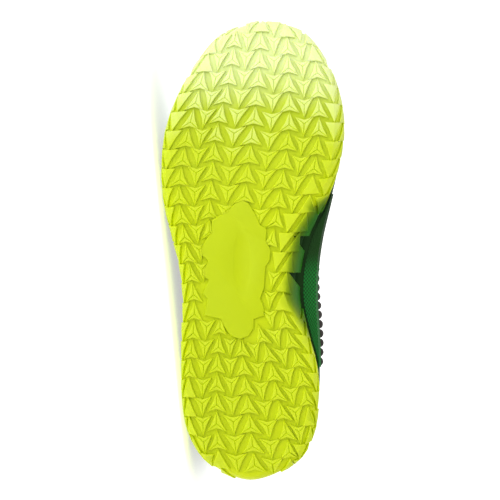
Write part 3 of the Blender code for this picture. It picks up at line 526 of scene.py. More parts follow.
    def off_upper(self, station: float, level: float, distance: float) -> Point:
        """Return a point that stands off the upper.

        Args:
            station: The place round the shoe.
            level: 0 at the sole and 1 at the opening.
            distance: How far outside it stands, or inside it below zero.

        Returns:
            The point in the shoe's own frame.
        """
        if abs(station) > VAMP_STATION and level > 0.999:
            normal = self.upper_normal(abs(station), level) + self.upper_normal(-abs(station), level)
            normal /= np.linalg.norm(normal)
        else:
            normal = self.upper_normal(station, level)
        return self.upper_point(station, level) + normal * distance

    def level_at_height(self, station: float, height: float) -> float:
        """Find by halving where the upper reaches a height.

        Args:
            station: The place round the shoe.
            height: The height over the ground.

        Returns:
            The level there.
        """
        low, high = 0.0, 1.0
        for _ in range(16):
            middle = 0.5 * (low + high)
            if self.upper_point(station, middle)[2] < height:
                low = middle
            else:
                high = middle
        return low

    def level_from_edge(self, station: float, distance: float) -> float:
        """Find a place by its distance from the edge of the opening.

        Args:
            station: The place round the shoe.
            distance: How far down the surface it lies.

        Returns:
            The level there.
        """
        steps = 60
        walked = 0.0
        last = self.upper_point(station, 1.0)
        for step in range(1, steps):
            here = self.upper_point(station, 1.0 - step / steps)
            stride = float(np.linalg.norm(here - last))
            if walked + stride >= distance:
                return 1.0 - (step - 1 + (distance - walked) / stride) / steps
            walked += stride
            last = here
        return 1.0 / steps


def wrapped(station: float) -> float:
    """Bring a station back between -1 and 1.

    Args:
        station: A station that may lie past the toe.

    Returns:
        The same place's own station.
    """
    if station > 1.0:
        return station - 2.0
    return station + 2.0 if station < -1.0 else station


FORM = ShoeForm()


def linear(hex_colour: str) -> tuple[float, float, float, float]:
    """Turn an sRGB hex colour into linear values.

    Args:
        hex_colour: Six hex digits after a hash sign.

    Returns:
        Red, green, blue and an alpha of 1.
    """
    values = []
    for i in (1, 3, 5):
        part = int(hex_colour[i : i + 2], 16) / 255
        values.append(part / 12.92 if part <= 0.04045 else ((part + 0.055) / 1.055) ** 2.4)
    return (*values, 1.0)


def add_node(
    tree: bpy.types.NodeTree, kind: str, settings: dict | None = None, links: dict | None = None
) -> bpy.types.Node:
    """Add one node to a material.

    Args:
        tree: The material's nodes.
        kind: The node's type.
        settings: Attributes of the node, values of its inputs, or as stops a ramp's places and colours.
        links: Output sockets by the name or index of the input that they feed.

    Returns:
        The new node.
    """
    node = tree.nodes.new(kind)
    for name, value in (settings or {}).items():
        if name == "stops":
            elements = node.color_ramp.elements
            while len(elements) < len(value):
                elements.new(0.5)
            for element, (place, colour) in zip(elements, value):
                element.position = place
                element.color = linear(colour)
        elif isinstance(name, str) and hasattr(node, name):
            setattr(node, name, value)
        else:
            node.inputs[name].default_value = value
    for name, socket in (links or {}).items():
        tree.links.new(socket, node.inputs[name])
    return node


def start_material(
    name: str, colour: str, roughness: float, **inputs: float | tuple
) -> tuple[bpy.types.Material, bpy.types.NodeTree, bpy.types.Node]:
    """Start a material with its plain values on the shader's own sockets.

    Args:
        name: The material's name.
        colour: Its sRGB colour.
        roughness: Its roughness.
        **inputs: More inputs of the shader, with low lines for spaces.

    Returns:
        The material, its nodes and its shader.
    """
    material = bpy.data.materials.new(name)
    material.use_nodes = True
    tree = material.node_tree
    shader = tree.nodes["Principled BSDF"]
    shader.inputs["Base Color"].default_value = linear(colour)
    shader.inputs["Roughness"].default_value = roughness
    for key, value in inputs.items():
        shader.inputs[key.replace("_", " ").title().replace("Ior", "IOR")].default_value = value
    material.diffuse_color = linear(colour)
    return material, tree, shader


@dataclass(frozen=True)
class MouldedRubber:
    """Injection-moulded rubber, which looks soft, even and a little translucent, with faint flow marks.

    The mould's own grain is about 0.1 mm. It is drawn coarser so that it shows.
    """

    name: str = "moulded_rubber"
    colour: str = "#cbd903"
    # Painted highlight: pale colours the lugs' tops and toe whitens the toe, where the light falls brightest.
    pale: str = "#c6d62a"
    toe: str = "#e3efa8"
    # Painted shade: olive, green and dark darken the rubber up the waist's inner wall.
    olive: str = "#93aa04"
    green: str = "#5f7c05"
    dark: str = "#1c6203"
    grain: float = 0.9 * MM
    flow: float = 35 * MM
    roughness: float = 0.40

    def build(self) -> bpy.types.Material:
        """Build the material.

        The attribute pale whitens the lugs' tops and the toe, a painted highlight, and
        the attribute shade leads it to olive and dark green, a painted shade up the waist's inner wall.

        Returns:
            The material.
        """
        material, tree, shader = start_material(
            self.name,
            self.colour,
            self.roughness,
            subsurface_weight=0.45,
            subsurface_radius=(1.0, 1.0, 0.35),
            subsurface_scale=2.5 * MM,
            specular_ior_level=0.16,
        )
        place = add_node(tree, "ShaderNodeTexCoord")
        clouds = add_node(
            tree,
            "ShaderNodeTexNoise",
            {"Scale": 1 / self.flow, "Detail": 3.0},
            {"Vector": place.outputs["Object"]},
        )
        pale = add_node(tree, "ShaderNodeAttribute", {"attribute_name": "pale"})
        amount = add_node(
            tree,
            "ShaderNodeMath",
            {"operation": "MULTIPLY_ADD", 1: 0.30},
            {0: clouds.outputs["Fac"], 2: pale.outputs["Fac"]},
        )
        # Painted highlight: pale, with faint clouds, leads the groove colour to the paler lug tops and the
        # whitish toe.
        base = add_node(
            tree,
            "ShaderNodeValToRGB",
            {"stops": ((0.12, self.colour), (0.62, self.pale), (1.10 / 1.15, self.toe))},
            {"Fac": amount.outputs[0]},
        )
        # Painted shade: the attribute shade darkens the rubber to olive and dark green up the waist's inner
        # wall.
        shade = add_node(tree, "ShaderNodeAttribute", {"attribute_name": "shade"})
        deep = add_node(
            tree,
            "ShaderNodeValToRGB",
            {"stops": ((0.25, self.olive), (0.60, self.green), (1.0, self.dark))},
            {"Fac": shade.outputs["Fac"]},
        )
        ease = add_node(tree, "ShaderNodeMapRange", {"From Max": 0.35}, {"Value": shade.outputs["Fac"]})
        blend = add_node(
            tree,
            "ShaderNodeMix",
            {"data_type": "RGBA"},
            {0: ease.outputs["Result"], 6: base.outputs["Color"], 7: deep.outputs["Color"]},
        )
        tree.links.new(blend.outputs[2], shader.inputs["Base Color"])
        grain = add_node(
            tree,
            "ShaderNodeTexNoise",
            {"Scale": 1 / self.grain, "Detail": 2.0},
            {"Vector": place.outputs["Object"]},
        )
        rough = add_node(
            tree,
            "ShaderNodeMapRange",
            {"To Min": self.roughness - 0.05, "To Max": self.roughness + 0.10},
            {"Value": grain.outputs["Fac"]},
        )
        tree.links.new(rough.outputs["Result"], shader.inputs["Roughness"])
        bump = add_node(
            tree,
            "ShaderNodeBump",
            {"Strength": 0.12, "Distance": 0.05 * MM},
            {"Height": grain.outputs["Fac"]},
        )
        tree.links.new(bump.outputs["Normal"], shader.inputs["Normal"])
        return material


@dataclass(frozen=True)
class MouldedFoam:
    """Compression-moulded foam, which looks matt, with pores in its skin, drawn coarser than real."""

    name: str = "moulded_foam"
    colour: str = "#14380c"
    pale: str = "#1f4d12"
    pore: float = 0.8 * MM
    flow: float = 25 * MM

    def build(self) -> bpy.types.Material:
        """Build the material.

        Returns:
            The material.
        """
        material, tree, shader = start_material(self.name, self.colour, 0.6, specular_ior_level=0.2)
        place = add_node(tree, "ShaderNodeTexCoord")
        clouds = add_node(
            tree,
            "ShaderNodeTexNoise",
            {"Scale": 1 / self.flow, "Detail": 3.0},
            {"Vector": place.outputs["Object"]},
        )
        colour = add_node(
            tree,
            "ShaderNodeValToRGB",
            {"stops": ((0.3, self.colour), (0.75, self.pale))},
            {"Fac": clouds.outputs["Fac"]},
        )
        tree.links.new(colour.outputs["Color"], shader.inputs["Base Color"])
        pores = add_node(
            tree, "ShaderNodeTexVoronoi", {"Scale": 1 / self.pore}, {"Vector": place.outputs["Object"]}
        )
        bump = add_node(
            tree,
            "ShaderNodeBump",
            {"Strength": 0.25, "Distance": 0.08 * MM},
            {"Height": pores.outputs["Distance"]},
        )
        tree.links.new(bump.outputs["Normal"], shader.inputs["Normal"])
        return material


@dataclass(frozen=True)
class WovenTextile:
    """Woven textile, which looks matt, with two crossing sets of yarn.

    Real yarns lie 0.3 to 0.6 mm apart. They are drawn coarser so that they show.
    """

    name: str
    warp: str
    weft: str
    yarn: float
    turn: float = 0.0
    roughness: float = 0.8
    sheen: float = 0.04
    # Painted shade: the colour that the attribute deep mixes into the weave.
    deep: str = "#0b3901"

    def build(self) -> bpy.types.Material:
        """Build the material, with a weave that follows the piece's UV map in metres.

        Returns:
            The material.
        """
        material, tree, shader = start_material(
            self.name, self.warp, self.roughness, sheen_weight=self.sheen, specular_ior_level=0.2
        )
        uv = add_node(tree, "ShaderNodeUVMap", {"uv_map": "UVMap"})
        turned = add_node(
            tree, "ShaderNodeMapping", {"Rotation": (0.0, 0.0, self.turn)}, {"Vector": uv.outputs["UV"]}
        )
        waves = []
        for direction in ("X", "Y"):
            wave = add_node(
                tree,
                "ShaderNodeTexWave",
                {
                    "bands_direction": direction,
                    "Scale": 0.314 / self.yarn,
                    "Distortion": 0.3,
                    "Detail Scale": 1.0,
                },
                {"Vector": turned.outputs["Vector"]},
            )
            waves.append(wave.outputs["Fac"])
        crossing = add_node(tree, "ShaderNodeMath", {"operation": "MULTIPLY"}, {0: waves[0], 1: waves[1]})
        checks = add_node(tree, "ShaderNodeMath", {"operation": "GREATER_THAN"}, {0: waves[0], 1: waves[1]})
        blend = add_node(tree, "ShaderNodeMix", {"data_type": "RGBA"})
        tree.links.new(checks.outputs[0], blend.inputs[0])
        blend.inputs[6].default_value = linear(self.warp)
        blend.inputs[7].default_value = linear(self.weft)
        # Painted shade: the attribute deep darkens the weave towards the colour deep.
        deep = add_node(tree, "ShaderNodeAttribute", {"attribute_name": "deep"})
        darken = add_node(tree, "ShaderNodeMix", {"data_type": "RGBA"})
        tree.links.new(deep.outputs["Fac"], darken.inputs[0])
        tree.links.new(blend.outputs[2], darken.inputs[6])
        darken.inputs[7].default_value = linear(self.deep)
        tree.links.new(darken.outputs[2], shader.inputs["Base Color"])
        bump = add_node(
            tree, "ShaderNodeBump", {"Strength": 0.6, "Distance": 0.25 * MM}, {"Height": crossing.outputs[0]}
        )
        tree.links.new(bump.outputs["Normal"], shader.inputs["Normal"])
        return material


@dataclass(frozen=True)
class GrainedSkin:
    """Coated synthetic leather or moulded plastic, which has a dull shine and a pebbled grain.

    Real grain is about 0.5 mm. It is drawn coarser so that it shows.
    """

    name: str
    colour: str
    roughness: float
    grain: float = 1.1 * MM
    depth: float = 0.10 * MM
    coat: float = 0.04

    def build(self) -> bpy.types.Material:
        """Build the material.

        Returns:
            The material.
        """
        material, tree, shader = start_material(
            self.name, self.colour, self.roughness, coat_weight=self.coat, specular_ior_level=0.18
        )
        place = add_node(tree, "ShaderNodeTexCoord")
        pebbles = add_node(
            tree,
            "ShaderNodeTexVoronoi",
            {"feature": "SMOOTH_F1", "Scale": 1 / self.grain},
            {"Vector": place.outputs["Object"]},
        )
        bump = add_node(
            tree,
            "ShaderNodeBump",
            {"Strength": 0.3, "Distance": self.depth},
            {"Height": pebbles.outputs["Distance"]},
        )
        tree.links.new(bump.outputs["Normal"], shader.inputs["Normal"])
        return material


@dataclass(frozen=True)
class StudioCard:
    """Opal acrylic of a light table, matt and lit from below, so it stays white beside the shoe."""

    name: str = "opal_light_table"
    colour: str = "#f7f7f5"
    glow: float = 0.55

    def build(self) -> bpy.types.Material:
        """Return the material."""
        lit = {"emission_color": linear(self.colour), "emission_strength": self.glow}
        return start_material(self.name, self.colour, 0.9, **lit)[0]


class Finish(Enum):
    """Every finish of the shoe."""

    # Injection-moulded rubber: even and a little glossy, with painted highlight on the lugs' tops and the toe
    # and painted shade up the waist's inner wall.
    RUBBER = MouldedRubber()
    # Compression-moulded foam: matt and dark, with fine pores.
    FOAM = MouldedFoam()
    # Woven polyester: matt green with a faint diagonal check.
    UPPER_CLOTH = WovenTextile("woven_upper", "#0d6a35", "#0a5a2e", 1.6 * MM, math.pi / 4)
    # Knitted lining: dark and flat.
    LINING = WovenTextile("knitted_lining", "#12301c", "#0e2716", 1.2 * MM)
    # Woven tongue cloth: the upper's green, a shade darker.
    TONGUE_CLOTH = WovenTextile("woven_tongue", "#0c5c2f", "#094a26", 1.4 * MM)
    # Brushed sockliner: soft and dark.
    INSOLE_CLOTH = WovenTextile("brushed_sockliner", "#164a25", "#123f20", 1.2 * MM)
    # Coarse woven band: bright diagonal checks behind the windows, with painted shade towards its toe end.
    ARCH_WEAVE = WovenTextile("woven_arch_band", "#0f7426", "#064a14", 1.8 * MM, math.pi / 4, 0.6, 0.0)
    # Flat woven lace: yellow-green, with a fine diagonal.
    LACE = WovenTextile("woven_lace", "#b9cf1c", "#9db412", 0.9 * MM, math.pi / 4)
    # Stitching thread: small bright bars.
    THREAD = WovenTextile("stitching_thread", "#a9c41a", "#93ad14", 0.4 * MM, 0.0, 0.6)
    # Coated synthetic leather: pebbled and slightly glossy.
    EYESTAY = GrainedSkin("synthetic_leather", "#153f1c", 0.48)
    # Moulded heel cup: smooth, with a thin gloss.
    COUNTER = GrainedSkin("moulded_counter", "#0d3a1e", 0.38, 0.7 * MM, 0.05 * MM, 0.1)
    # Moulded eyelet rims: bright and smooth.
    RING = GrainedSkin("moulded_eyelet", "#9db412", 0.35, 0.7 * MM, 0.03 * MM, 0.1)
    # Moulded ribs: dark brown and matt.
    RIBS = GrainedSkin("moulded_ribs", "#1c1408", 0.5, 0.6 * MM, 0.04 * MM, 0.0)
    # Opal light table: an even white.
    FLOOR = StudioCard()


MATERIALS: dict[Finish, bpy.types.Material] = {}


def material_of(finish: Finish) -> bpy.types.Material:
    """Return a finish's material, made once.

    Args:
        finish: The finish.

    Returns:
        Its material.
    """
    if finish not in MATERIALS:
        MATERIALS[finish] = finish.value.build()
    return MATERIALS[finish]


def deselect() -> None:
    """Deselect every object."""
    if bpy.context.mode != "OBJECT":
        bpy.ops.object.mode_set(mode="OBJECT")
    bpy.ops.object.select_all(action="DESELECT")


def use(piece: bpy.types.Object) -> None:
    """Make a piece the only selected and the active object.

    Args:
        piece: The piece.
    """
    deselect()
    piece.select_set(True)
    bpy.context.view_layer.objects.active = piece


def apply_step(piece: bpy.types.Object, kind: str, **settings: object) -> None:
    """Add a modifier and apply it at once.

    Args:
        piece: The object.
        kind: The modifier's type.
        **settings: The modifier's settings.
    """
    use(piece)
    step = piece.modifiers.new(kind.lower(), kind)
    for name, value in settings.items():
        setattr(step, name, value)
    bpy.ops.object.modifier_apply(modifier=step.name)


def round_edges(piece: bpy.types.Object, width: float, segments: int = 2) -> None:
    """Bevel a piece's sharp edges.

    Args:
        piece: The object.
        width: The bevel's width.
        segments: How many faces it has across.
    """
    sharp = math.radians(60)
    apply_step(piece, "BEVEL", width=width, segments=segments, limit_method="ANGLE", angle_limit=sharp)


def remove(piece: bpy.types.Object) -> None:
    """Delete a tool or a pattern."""
    use(piece)
    bpy.ops.object.delete()


def face_out(piece: bpy.types.Object) -> None:
    """Turn a closed piece's faces outwards.

    Args:
        piece: The object.
    """
    use(piece)
    bpy.ops.object.mode_set(mode="EDIT")
    bpy.ops.mesh.select_all(action="SELECT")
    bpy.ops.mesh.normals_make_consistent(inside=False)
    bpy.ops.object.mode_set(mode="OBJECT")


def merge_doubles(piece: bpy.types.Object, distance: float = 0.02 * MM) -> None:
    """Close the seams of a piece and turn its faces outwards.

    Args:
        piece: The piece.
        distance: Points nearer than this become one.
    """
    use(piece)
    bpy.ops.object.mode_set(mode="EDIT")
    bpy.ops.mesh.select_all(action="SELECT")
    bpy.ops.mesh.remove_doubles(threshold=distance)
    bpy.ops.mesh.dissolve_degenerate(threshold=0.001 * MM)
    bpy.ops.mesh.normals_make_consistent(inside=False)
    bpy.ops.object.mode_set(mode="OBJECT")


def smooth(piece: bpy.types.Object, angle: float = 40.0) -> None:
    """Shade a piece smooth where it turns less than an angle in degrees."""
    use(piece)
    bpy.ops.object.shade_smooth_by_angle(angle=math.radians(angle))


def lay_sheet(
    name: str, columns: int, rows: int, place: Placer, spread: tuple[float, float]
) -> bpy.types.Object:
    """Lay a grid on a form of the shoe.

    Args:
        name: The new object's name.
        columns: Faces along the sheet.
        rows: Faces across it.
        place: Gives a point of the shoe's own frame for shares along and across.
        spread: The sheet's real length and width, for its UV map.

    Returns:
        The sheet.
    """
    deselect()
    bpy.ops.mesh.primitive_grid_add(x_subdivisions=columns, y_subdivisions=rows, size=2.0)
    sheet = bpy.context.object
    sheet.name = name
    sheet.data.name = name
    layer = sheet.data.uv_layers[0]
    layer.name = "UVMap"
    for loop, corner in zip(layer.data, sheet.data.loops):
        x, y, _ = sheet.data.vertices[corner.vertex_index].co
        loop.uv = (0.5 * (x + 1.0) * spread[0], 0.5 * (y + 1.0) * spread[1])
    for vertex in sheet.data.vertices:
        along = round(0.5 * (vertex.co.x + 1.0) * columns) / columns
        across = round(0.5 * (vertex.co.y + 1.0) * rows) / rows
        vertex.co = LYING @ Vector(place(along, across))
    return sheet


def lay_rings(name: str, columns: int, rings: Sequence[Ring]) -> bpy.types.Object:
    """Lay a grid through rings round the shoe, from a closed bottom to a closed top.

    Args:
        name: The new object's name.
        columns: Faces round the shoe.
        rings: Each gives a point of the shoe's own frame for a signed station.

    Returns:
        The closed piece.
    """

    def place(along: float, across: float) -> Sequence[float]:
        """Return the point of the ring that a row of the grid falls on."""
        return rings[round(across * (len(rings) - 1))](2.0 * along - 1.0)

    piece = lay_sheet(name, columns, len(rings) - 1, place, (FORM.rubber.round_length, 60 * MM))
    merge_doubles(piece)
    return piece


def dress(
    piece: bpy.types.Object, finish: Finish, replaced: Sequence[str] = (), angle: float = 40.0
) -> bpy.types.Object:
    """Give a piece its material and tie it to the shoe.

    Args:
        piece: The piece.
        finish: Its finish.
        replaced: CAD nodes that it stands for.
        angle: Edges that turn less than this many degrees are shaded smooth.

    Returns:
        The same piece.
    """
    if not any(piece.data.materials):
        piece.data.materials.clear()
        piece.data.materials.append(material_of(finish))
    if angle:
        smooth(piece, angle)
    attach(piece, "root")
    if replaced:
        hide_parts(*replaced)
    return piece


def join(name: str, pieces: Sequence[bpy.types.Object]) -> bpy.types.Object:
    """Join small pieces into one object.

    Args:
        name: The new object's name.
        pieces: The pieces; the first takes in the rest.

    Returns:
        The joined piece.
    """
    deselect()
    for piece in pieces:
        piece.select_set(True)
    bpy.context.view_layer.objects.active = pieces[0]
    bpy.ops.object.join()
    pieces[0].name = name
    pieces[0].data.name = name
    return pieces[0]


@dataclass
class Tread:
    """Places points of the flat lug pattern on the rubber, rolling them up round its edge."""

    lug_height: float = 2.5 * MM
    edge_lug_height: float = 1.2 * MM
    sink: float = 0.7 * MM
    lug_length: float = 12.9 * MM
    pitch: float = 12.35 * MM
    fill: float = 0.315
    down_shift: float = -0.10
    first_along: float = 0.6373
    climb: float = 0.95
    overhang: float = 5 * MM
    steps: int = 24
    windows: tuple[tuple[tuple[float, float], ...], ...] = (
        ((178 * MM, 42 * MM), (178 * MM, 56 * MM), (169 * MM, 52 * MM)),
        ((159 * MM, 28 * MM), (159 * MM, 46 * MM), (142 * MM, 40 * MM)),
        ((135.5 * MM, 25 * MM), (135.5 * MM, 44 * MM), (120 * MM, 36 * MM)),
    )

    def __post_init__(self) -> None:
        """Sample the line where the flat tread ends."""
        self.places = np.linspace(-1.0, 1.0, 481)
        self.starts = np.array([FORM.rubber.inset(s, FORM.bevel_of(s)[0]) for s in self.places])
        self.outward = np.array([FORM.rubber.outward(s) for s in self.places])

    def nearest(self, x: float, y: float) -> tuple[float, float]:
        """Find the place of the tread's edge that is nearest to a point.

        Args:
            x: The place along the flat pattern.
            y: The place across it.

        Returns:
            Its station, and how far outside the edge the point lies.
        """
        point = np.array([x, y])
        spans = self.starts[1:] - self.starts[:-1]
        shares = np.clip(((point - self.starts[:-1]) * spans).sum(1) / (spans**2).sum(1), 0.0, 1.0)
        feet = self.starts[:-1] + spans * shares[:, None]
        distances = np.linalg.norm(point - feet, axis=1)
        best = int(np.argmin(distances))
        outside = float(np.dot(point - feet[best], self.outward[best]))
        station = mix(self.places[best], self.places[best + 1], shares[best])
        return float(station), math.copysign(float(distances[best]), outside)

    def point(self, x: float, y: float, sink: float) -> Point:
        """Return the pattern's point x, y at the tips' surface, or sunk towards the lugs' roots.

        Args:
            x: The place along the flat pattern.
            y: The place across it.
            sink: 0 at the tips and 1 at the roots.

        Returns:
            The point in the shoe's own frame.
        """
        station, outside = self.nearest(x, y)
        side_depth = sink * (self.edge_lug_height + self.sink)
        floor_depth = sink * (self.lug_height + self.sink)
        if outside <= 0:
            return np.array([x, y, floor_depth + FORM.bend(x)])
        width, height = FORM.bevel_of(station)
        walked = 0.0
        for step in range(self.steps):
            angle = (step + 0.5) / self.steps * math.pi / 2
            stride = math.hypot(width * math.cos(angle), height * math.sin(angle)) * math.pi / 2 / self.steps
            if walked + stride >= outside:
                return FORM.wall_point(
                    station, (step + (outside - walked) / stride) / self.steps, side_depth, floor_depth
                )
            walked += stride
        limit = FORM.rubber_top(station, -1) - FORM.gap
        return FORM.side_point(station, FORM.rubber, side_depth, min(height + outside - walked, limit))

    def lane(self, columns: Sequence[str], x: float) -> float:
        """Return where the middle of one or two lug columns lies across the shoe at x."""
        along = x / FORM.length
        return sum(LUG_COLUMNS.read(name, along) for name in columns) / len(columns) * FORM.half_width(along)

    def lugs(self) -> list[tuple]:
        """Find every lug of the pattern that stands on the tread.

        Returns:
            Each lug's lane, tip, base, half width and whether it stands at the edge.
        """
        names = LUG_COLUMNS.names[1:]
        lanes = []
        for i, name in enumerate(names):
            beside = (names[max(i - 1, 0)], names[min(i + 1, len(names) - 1)])
            lanes.append(((name,), beside, 1, COLUMN_SHIFT[name]))
        for left, right in zip(names, names[1:]):
            shift = 0.5 * (COLUMN_SHIFT[left] + COLUMN_SHIFT[right]) + self.down_shift
            lanes.append(((left, right), (left, right), -1, shift))
        found = []
        rows = int(FORM.length / self.pitch) + 2
        for lane, beside, heading, shift in lanes:
            for row in range(-rows, rows):
                tip = self.first_along * FORM.length + (row + shift) * self.pitch
                base = tip - self.lug_length
                if heading < 0:
                    tip, base = base, tip
                if min(tip, base) < -self.overhang or max(tip, base) > FORM.length + self.overhang:
                    continue
                spread = abs(self.lane(beside[1:], base) - self.lane(beside[:1], base))
                if heading > 0 and beside[0] != lane[0] and beside[1] != lane[0]:
                    spread *= 0.5
                half = self.fill * spread
                middle = mix(base, tip, 0.35)
                station, outside = self.nearest(middle, self.lane(lane, middle))
                width, height = FORM.bevel_of(station)
                lane_y = self.lane(lane, base)
                corners = [(tip, self.lane(lane, tip)), (base, lane_y - half), (base, lane_y + half)]
                too_high = outside > width + self.climb * height
                if too_high or self.hidden(middle, self.lane(lane, middle), corners):
                    continue
                edge = outside > -0.5 * MM or lane[0].startswith("edge") or lane[-1].startswith("edge")
                found.append((lane, tip, base, half, edge))
        return found

    def hidden(self, x: float, y: float, corners: Sequence[tuple[float, float]]) -> bool:
        """Return whether a lug would lie on the arch plate or reach into a window.

        Args:
            x: Its middle's place along the pattern.
            y: Its middle's place across the pattern.
            corners: Its three corners.

        Returns:
            Whether the lug is left out.
        """
        if inside_outline(x, y, plate_outline()):
            return True
        points = [(x, y), *corners]
        return any(inside_outline(*point, list(window)) for window in self.windows for point in points)


def plate_outline() -> list[tuple[float, float]]:
    """Return the arch plate's corners in metres."""
    return [(along * FORM.length, across * FORM.half_width(along)) for along, across in PLATE_CORNERS]


def inside_outline(x: float, y: float, corners: Sequence[tuple[float, float]]) -> bool:
    """Tell whether a point lies inside a polygon.

    Args:
        x: The point's first value.
        y: Its second value.
        corners: The polygon's corners.

    Returns:
        Whether it does.
    """
    inside = False
    for (x1, y1), (x2, y2) in zip(corners, list(corners[1:]) + list(corners[:1])):
        if (y1 > y) != (y2 > y) and x < (x2 - x1) * (y - y1) / (y2 - y1) + x1:
            inside = not inside
    return inside


@dataclass
class Outsole:
    """The rubber cup, its lugs and the arch plate."""

    tread: Tread = field(default_factory=Tread)
    wall: float = 2.2 * MM
    floor: float = 2.5 * MM
    edge_turns: int = 9
    plate_height: float = 2.0 * MM
    lug_aspect: float = 2.3
    # How far the painted shade up the waist's inner wall takes to reach full dark green.
    painted_shade_reach: float = 12 * MM
    plate_sunk: float = 0.45
    plate_round: float = 0.8 * MM
    # Painted shade that darkens the whole plate a little, as it faces the lights more than the faceted lugs
    # do.
    plate_painted_shade: float = 0.10
    dish_place: tuple[float, float] = (0.473 * FORM.length, -5 * MM)
    dish_radii: tuple[float, float, float] = (25 * MM, 7 * MM, 2.1 * MM)
    pin_length: float = 40 * MM
    # Painted highlight: how pale the lugs' tops are, and where and how strongly the toe is whitened.
    tip_painted_highlight: float = 0.3
    toe_painted_highlight: float = 0.9
    toe_highlight_start: float = 0.57
    toe_highlight_reach: float = 0.42

    def build(self) -> None:
        """Make the cup, lay the lugs on it and add the plate."""
        cup = self.cup()
        self.cut_windows(cup)
        lugs = self.lugs()
        plate = self.plate()
        # Painted highlight and painted shade go on each piece of rubber as attributes.
        self.shade(cup)
        self.shade(lugs)
        self.shade(plate, 0.3, self.plate_painted_shade)
        dress(cup, Finish.RUBBER, ("outsole",), 20)
        dress(lugs, Finish.RUBBER, (), 0)
        dress(plate, Finish.RUBBER, (), 30)
        LOG.info("outsole: cup, %d faces of lugs, arch plate", len(lugs.data.polygons))

    def cup(self) -> bpy.types.Object:
        """Make the cup, with its toothed edge.

        Returns:
            The cup.
        """
        teeth = 4 * round(FORM.rubber.round_length / (2 * FORM.tooth_pitch))
        columns = 2 * teeth
        outside = (self.tread.edge_lug_height, self.tread.lug_height)
        inside = (outside[0] + self.wall, outside[1] + self.floor)

        def tooth(station: float) -> float:
            """Return 1 on a tooth's point and -1 in a notch."""
            place = (station + 1.0) / 2.0 * teeth
            return 1.0 - 2.0 * abs((place + 1.0) % 2.0 - 1.0)

        def across(share: float, depths: tuple[float, float]) -> Ring:
            """Return a ring across the floor.

            Args:
                share: How far it lies from the edge to the middle line.
                depths: The depths at the side and on the floor.

            Returns:
                The ring's point for each station.
            """

            def ring(station: float) -> Point:
                """Return the ring's point.

                Args:
                    station: The place round the shoe.

                Returns:
                    The point in the shoe's own frame.
                """
                near = FORM.wall_point(station, 0.0, *depths)
                far = FORM.wall_point(-station, 0.0, *depths)
                point = mix(near, 0.5 * (near + far), share)
                point[2] = depths[1] + FORM.bend(point[0])
                return point

            return ring

        def turn(share: float, depths: tuple[float, float]) -> Ring:
            """Return a ring on the rounded edge."""
            return lambda station: FORM.wall_point(station, share, *depths)

        def top(inset: float, drop: float) -> Ring:
            """Return a ring at the toothed edge."""
            return lambda s: FORM.side_point(s, FORM.rubber, inset, FORM.rubber_top(s, tooth(s)) - drop)

        rings = [across(share, outside) for share in (1.0, 0.66, 0.33, 0.08)]
        rings += [turn(i / self.edge_turns, outside) for i in range(self.edge_turns + 1)]
        rings += [top(outside[0], 0.6 * MM), top(outside[0] + 0.5 * MM, 0.0), top(inside[0] - 0.5 * MM, 0.0)]
        rings += [top(inside[0], 0.6 * MM), turn(1.0, inside), turn(0.5, inside)]
        rings += [across(share, inside) for share in (0.0, 0.5, 1.0)]
        return lay_rings("outsole_cup", columns, rings)

    def pattern(self, plain: bool) -> bpy.types.Object:
        """Return one lug: base to tip along x, both corners across y, root to top along z.

        Args:
            plain: Leaves out the three-armed groove, as on the lugs of the edge.

        Returns:
            The pattern, with the faces of its top selected.
        """
        deselect()
        bpy.ops.mesh.primitive_cylinder_add(vertices=6, radius=1.0, depth=1.0, end_fill_type="NGON")
        lug = bpy.context.object
        side = 0.52 if plain else 0.46
        notch = 0.04 if plain else 0.15
        corners = [(1.0, 0.0), (0.45, side), (0.0, 1.0), (notch, 0.0), (0.0, -1.0), (0.45, -side)]
        for vertex in lug.data.vertices:
            corner = corners[round(math.atan2(vertex.co.x, vertex.co.y) / (math.pi / 3)) % 6]
            vertex.co = (corner[0] * self.lug_aspect, corner[1], 0.0 if vertex.co.z < 0 else 1.0)
        use(lug)
        bpy.ops.object.mode_set(mode="EDIT")
        bpy.ops.mesh.select_mode(type="FACE")
        bpy.ops.mesh.select_all(action="SELECT")
        bpy.ops.mesh.normals_make_consistent(inside=False)
        bpy.ops.mesh.select_all(action="DESELECT")
        bpy.ops.object.mode_set(mode="OBJECT")
        for face in lug.data.polygons:
            face.select = face.center.z > 0.99
        if not plain:
            self.part_top(lug, side, notch)
        bpy.ops.object.mode_set(mode="EDIT")
        bpy.ops.mesh.inset(thickness=0.075, depth=0.0, use_individual=True)
        bpy.ops.object.mode_set(mode="OBJECT")
        return lug

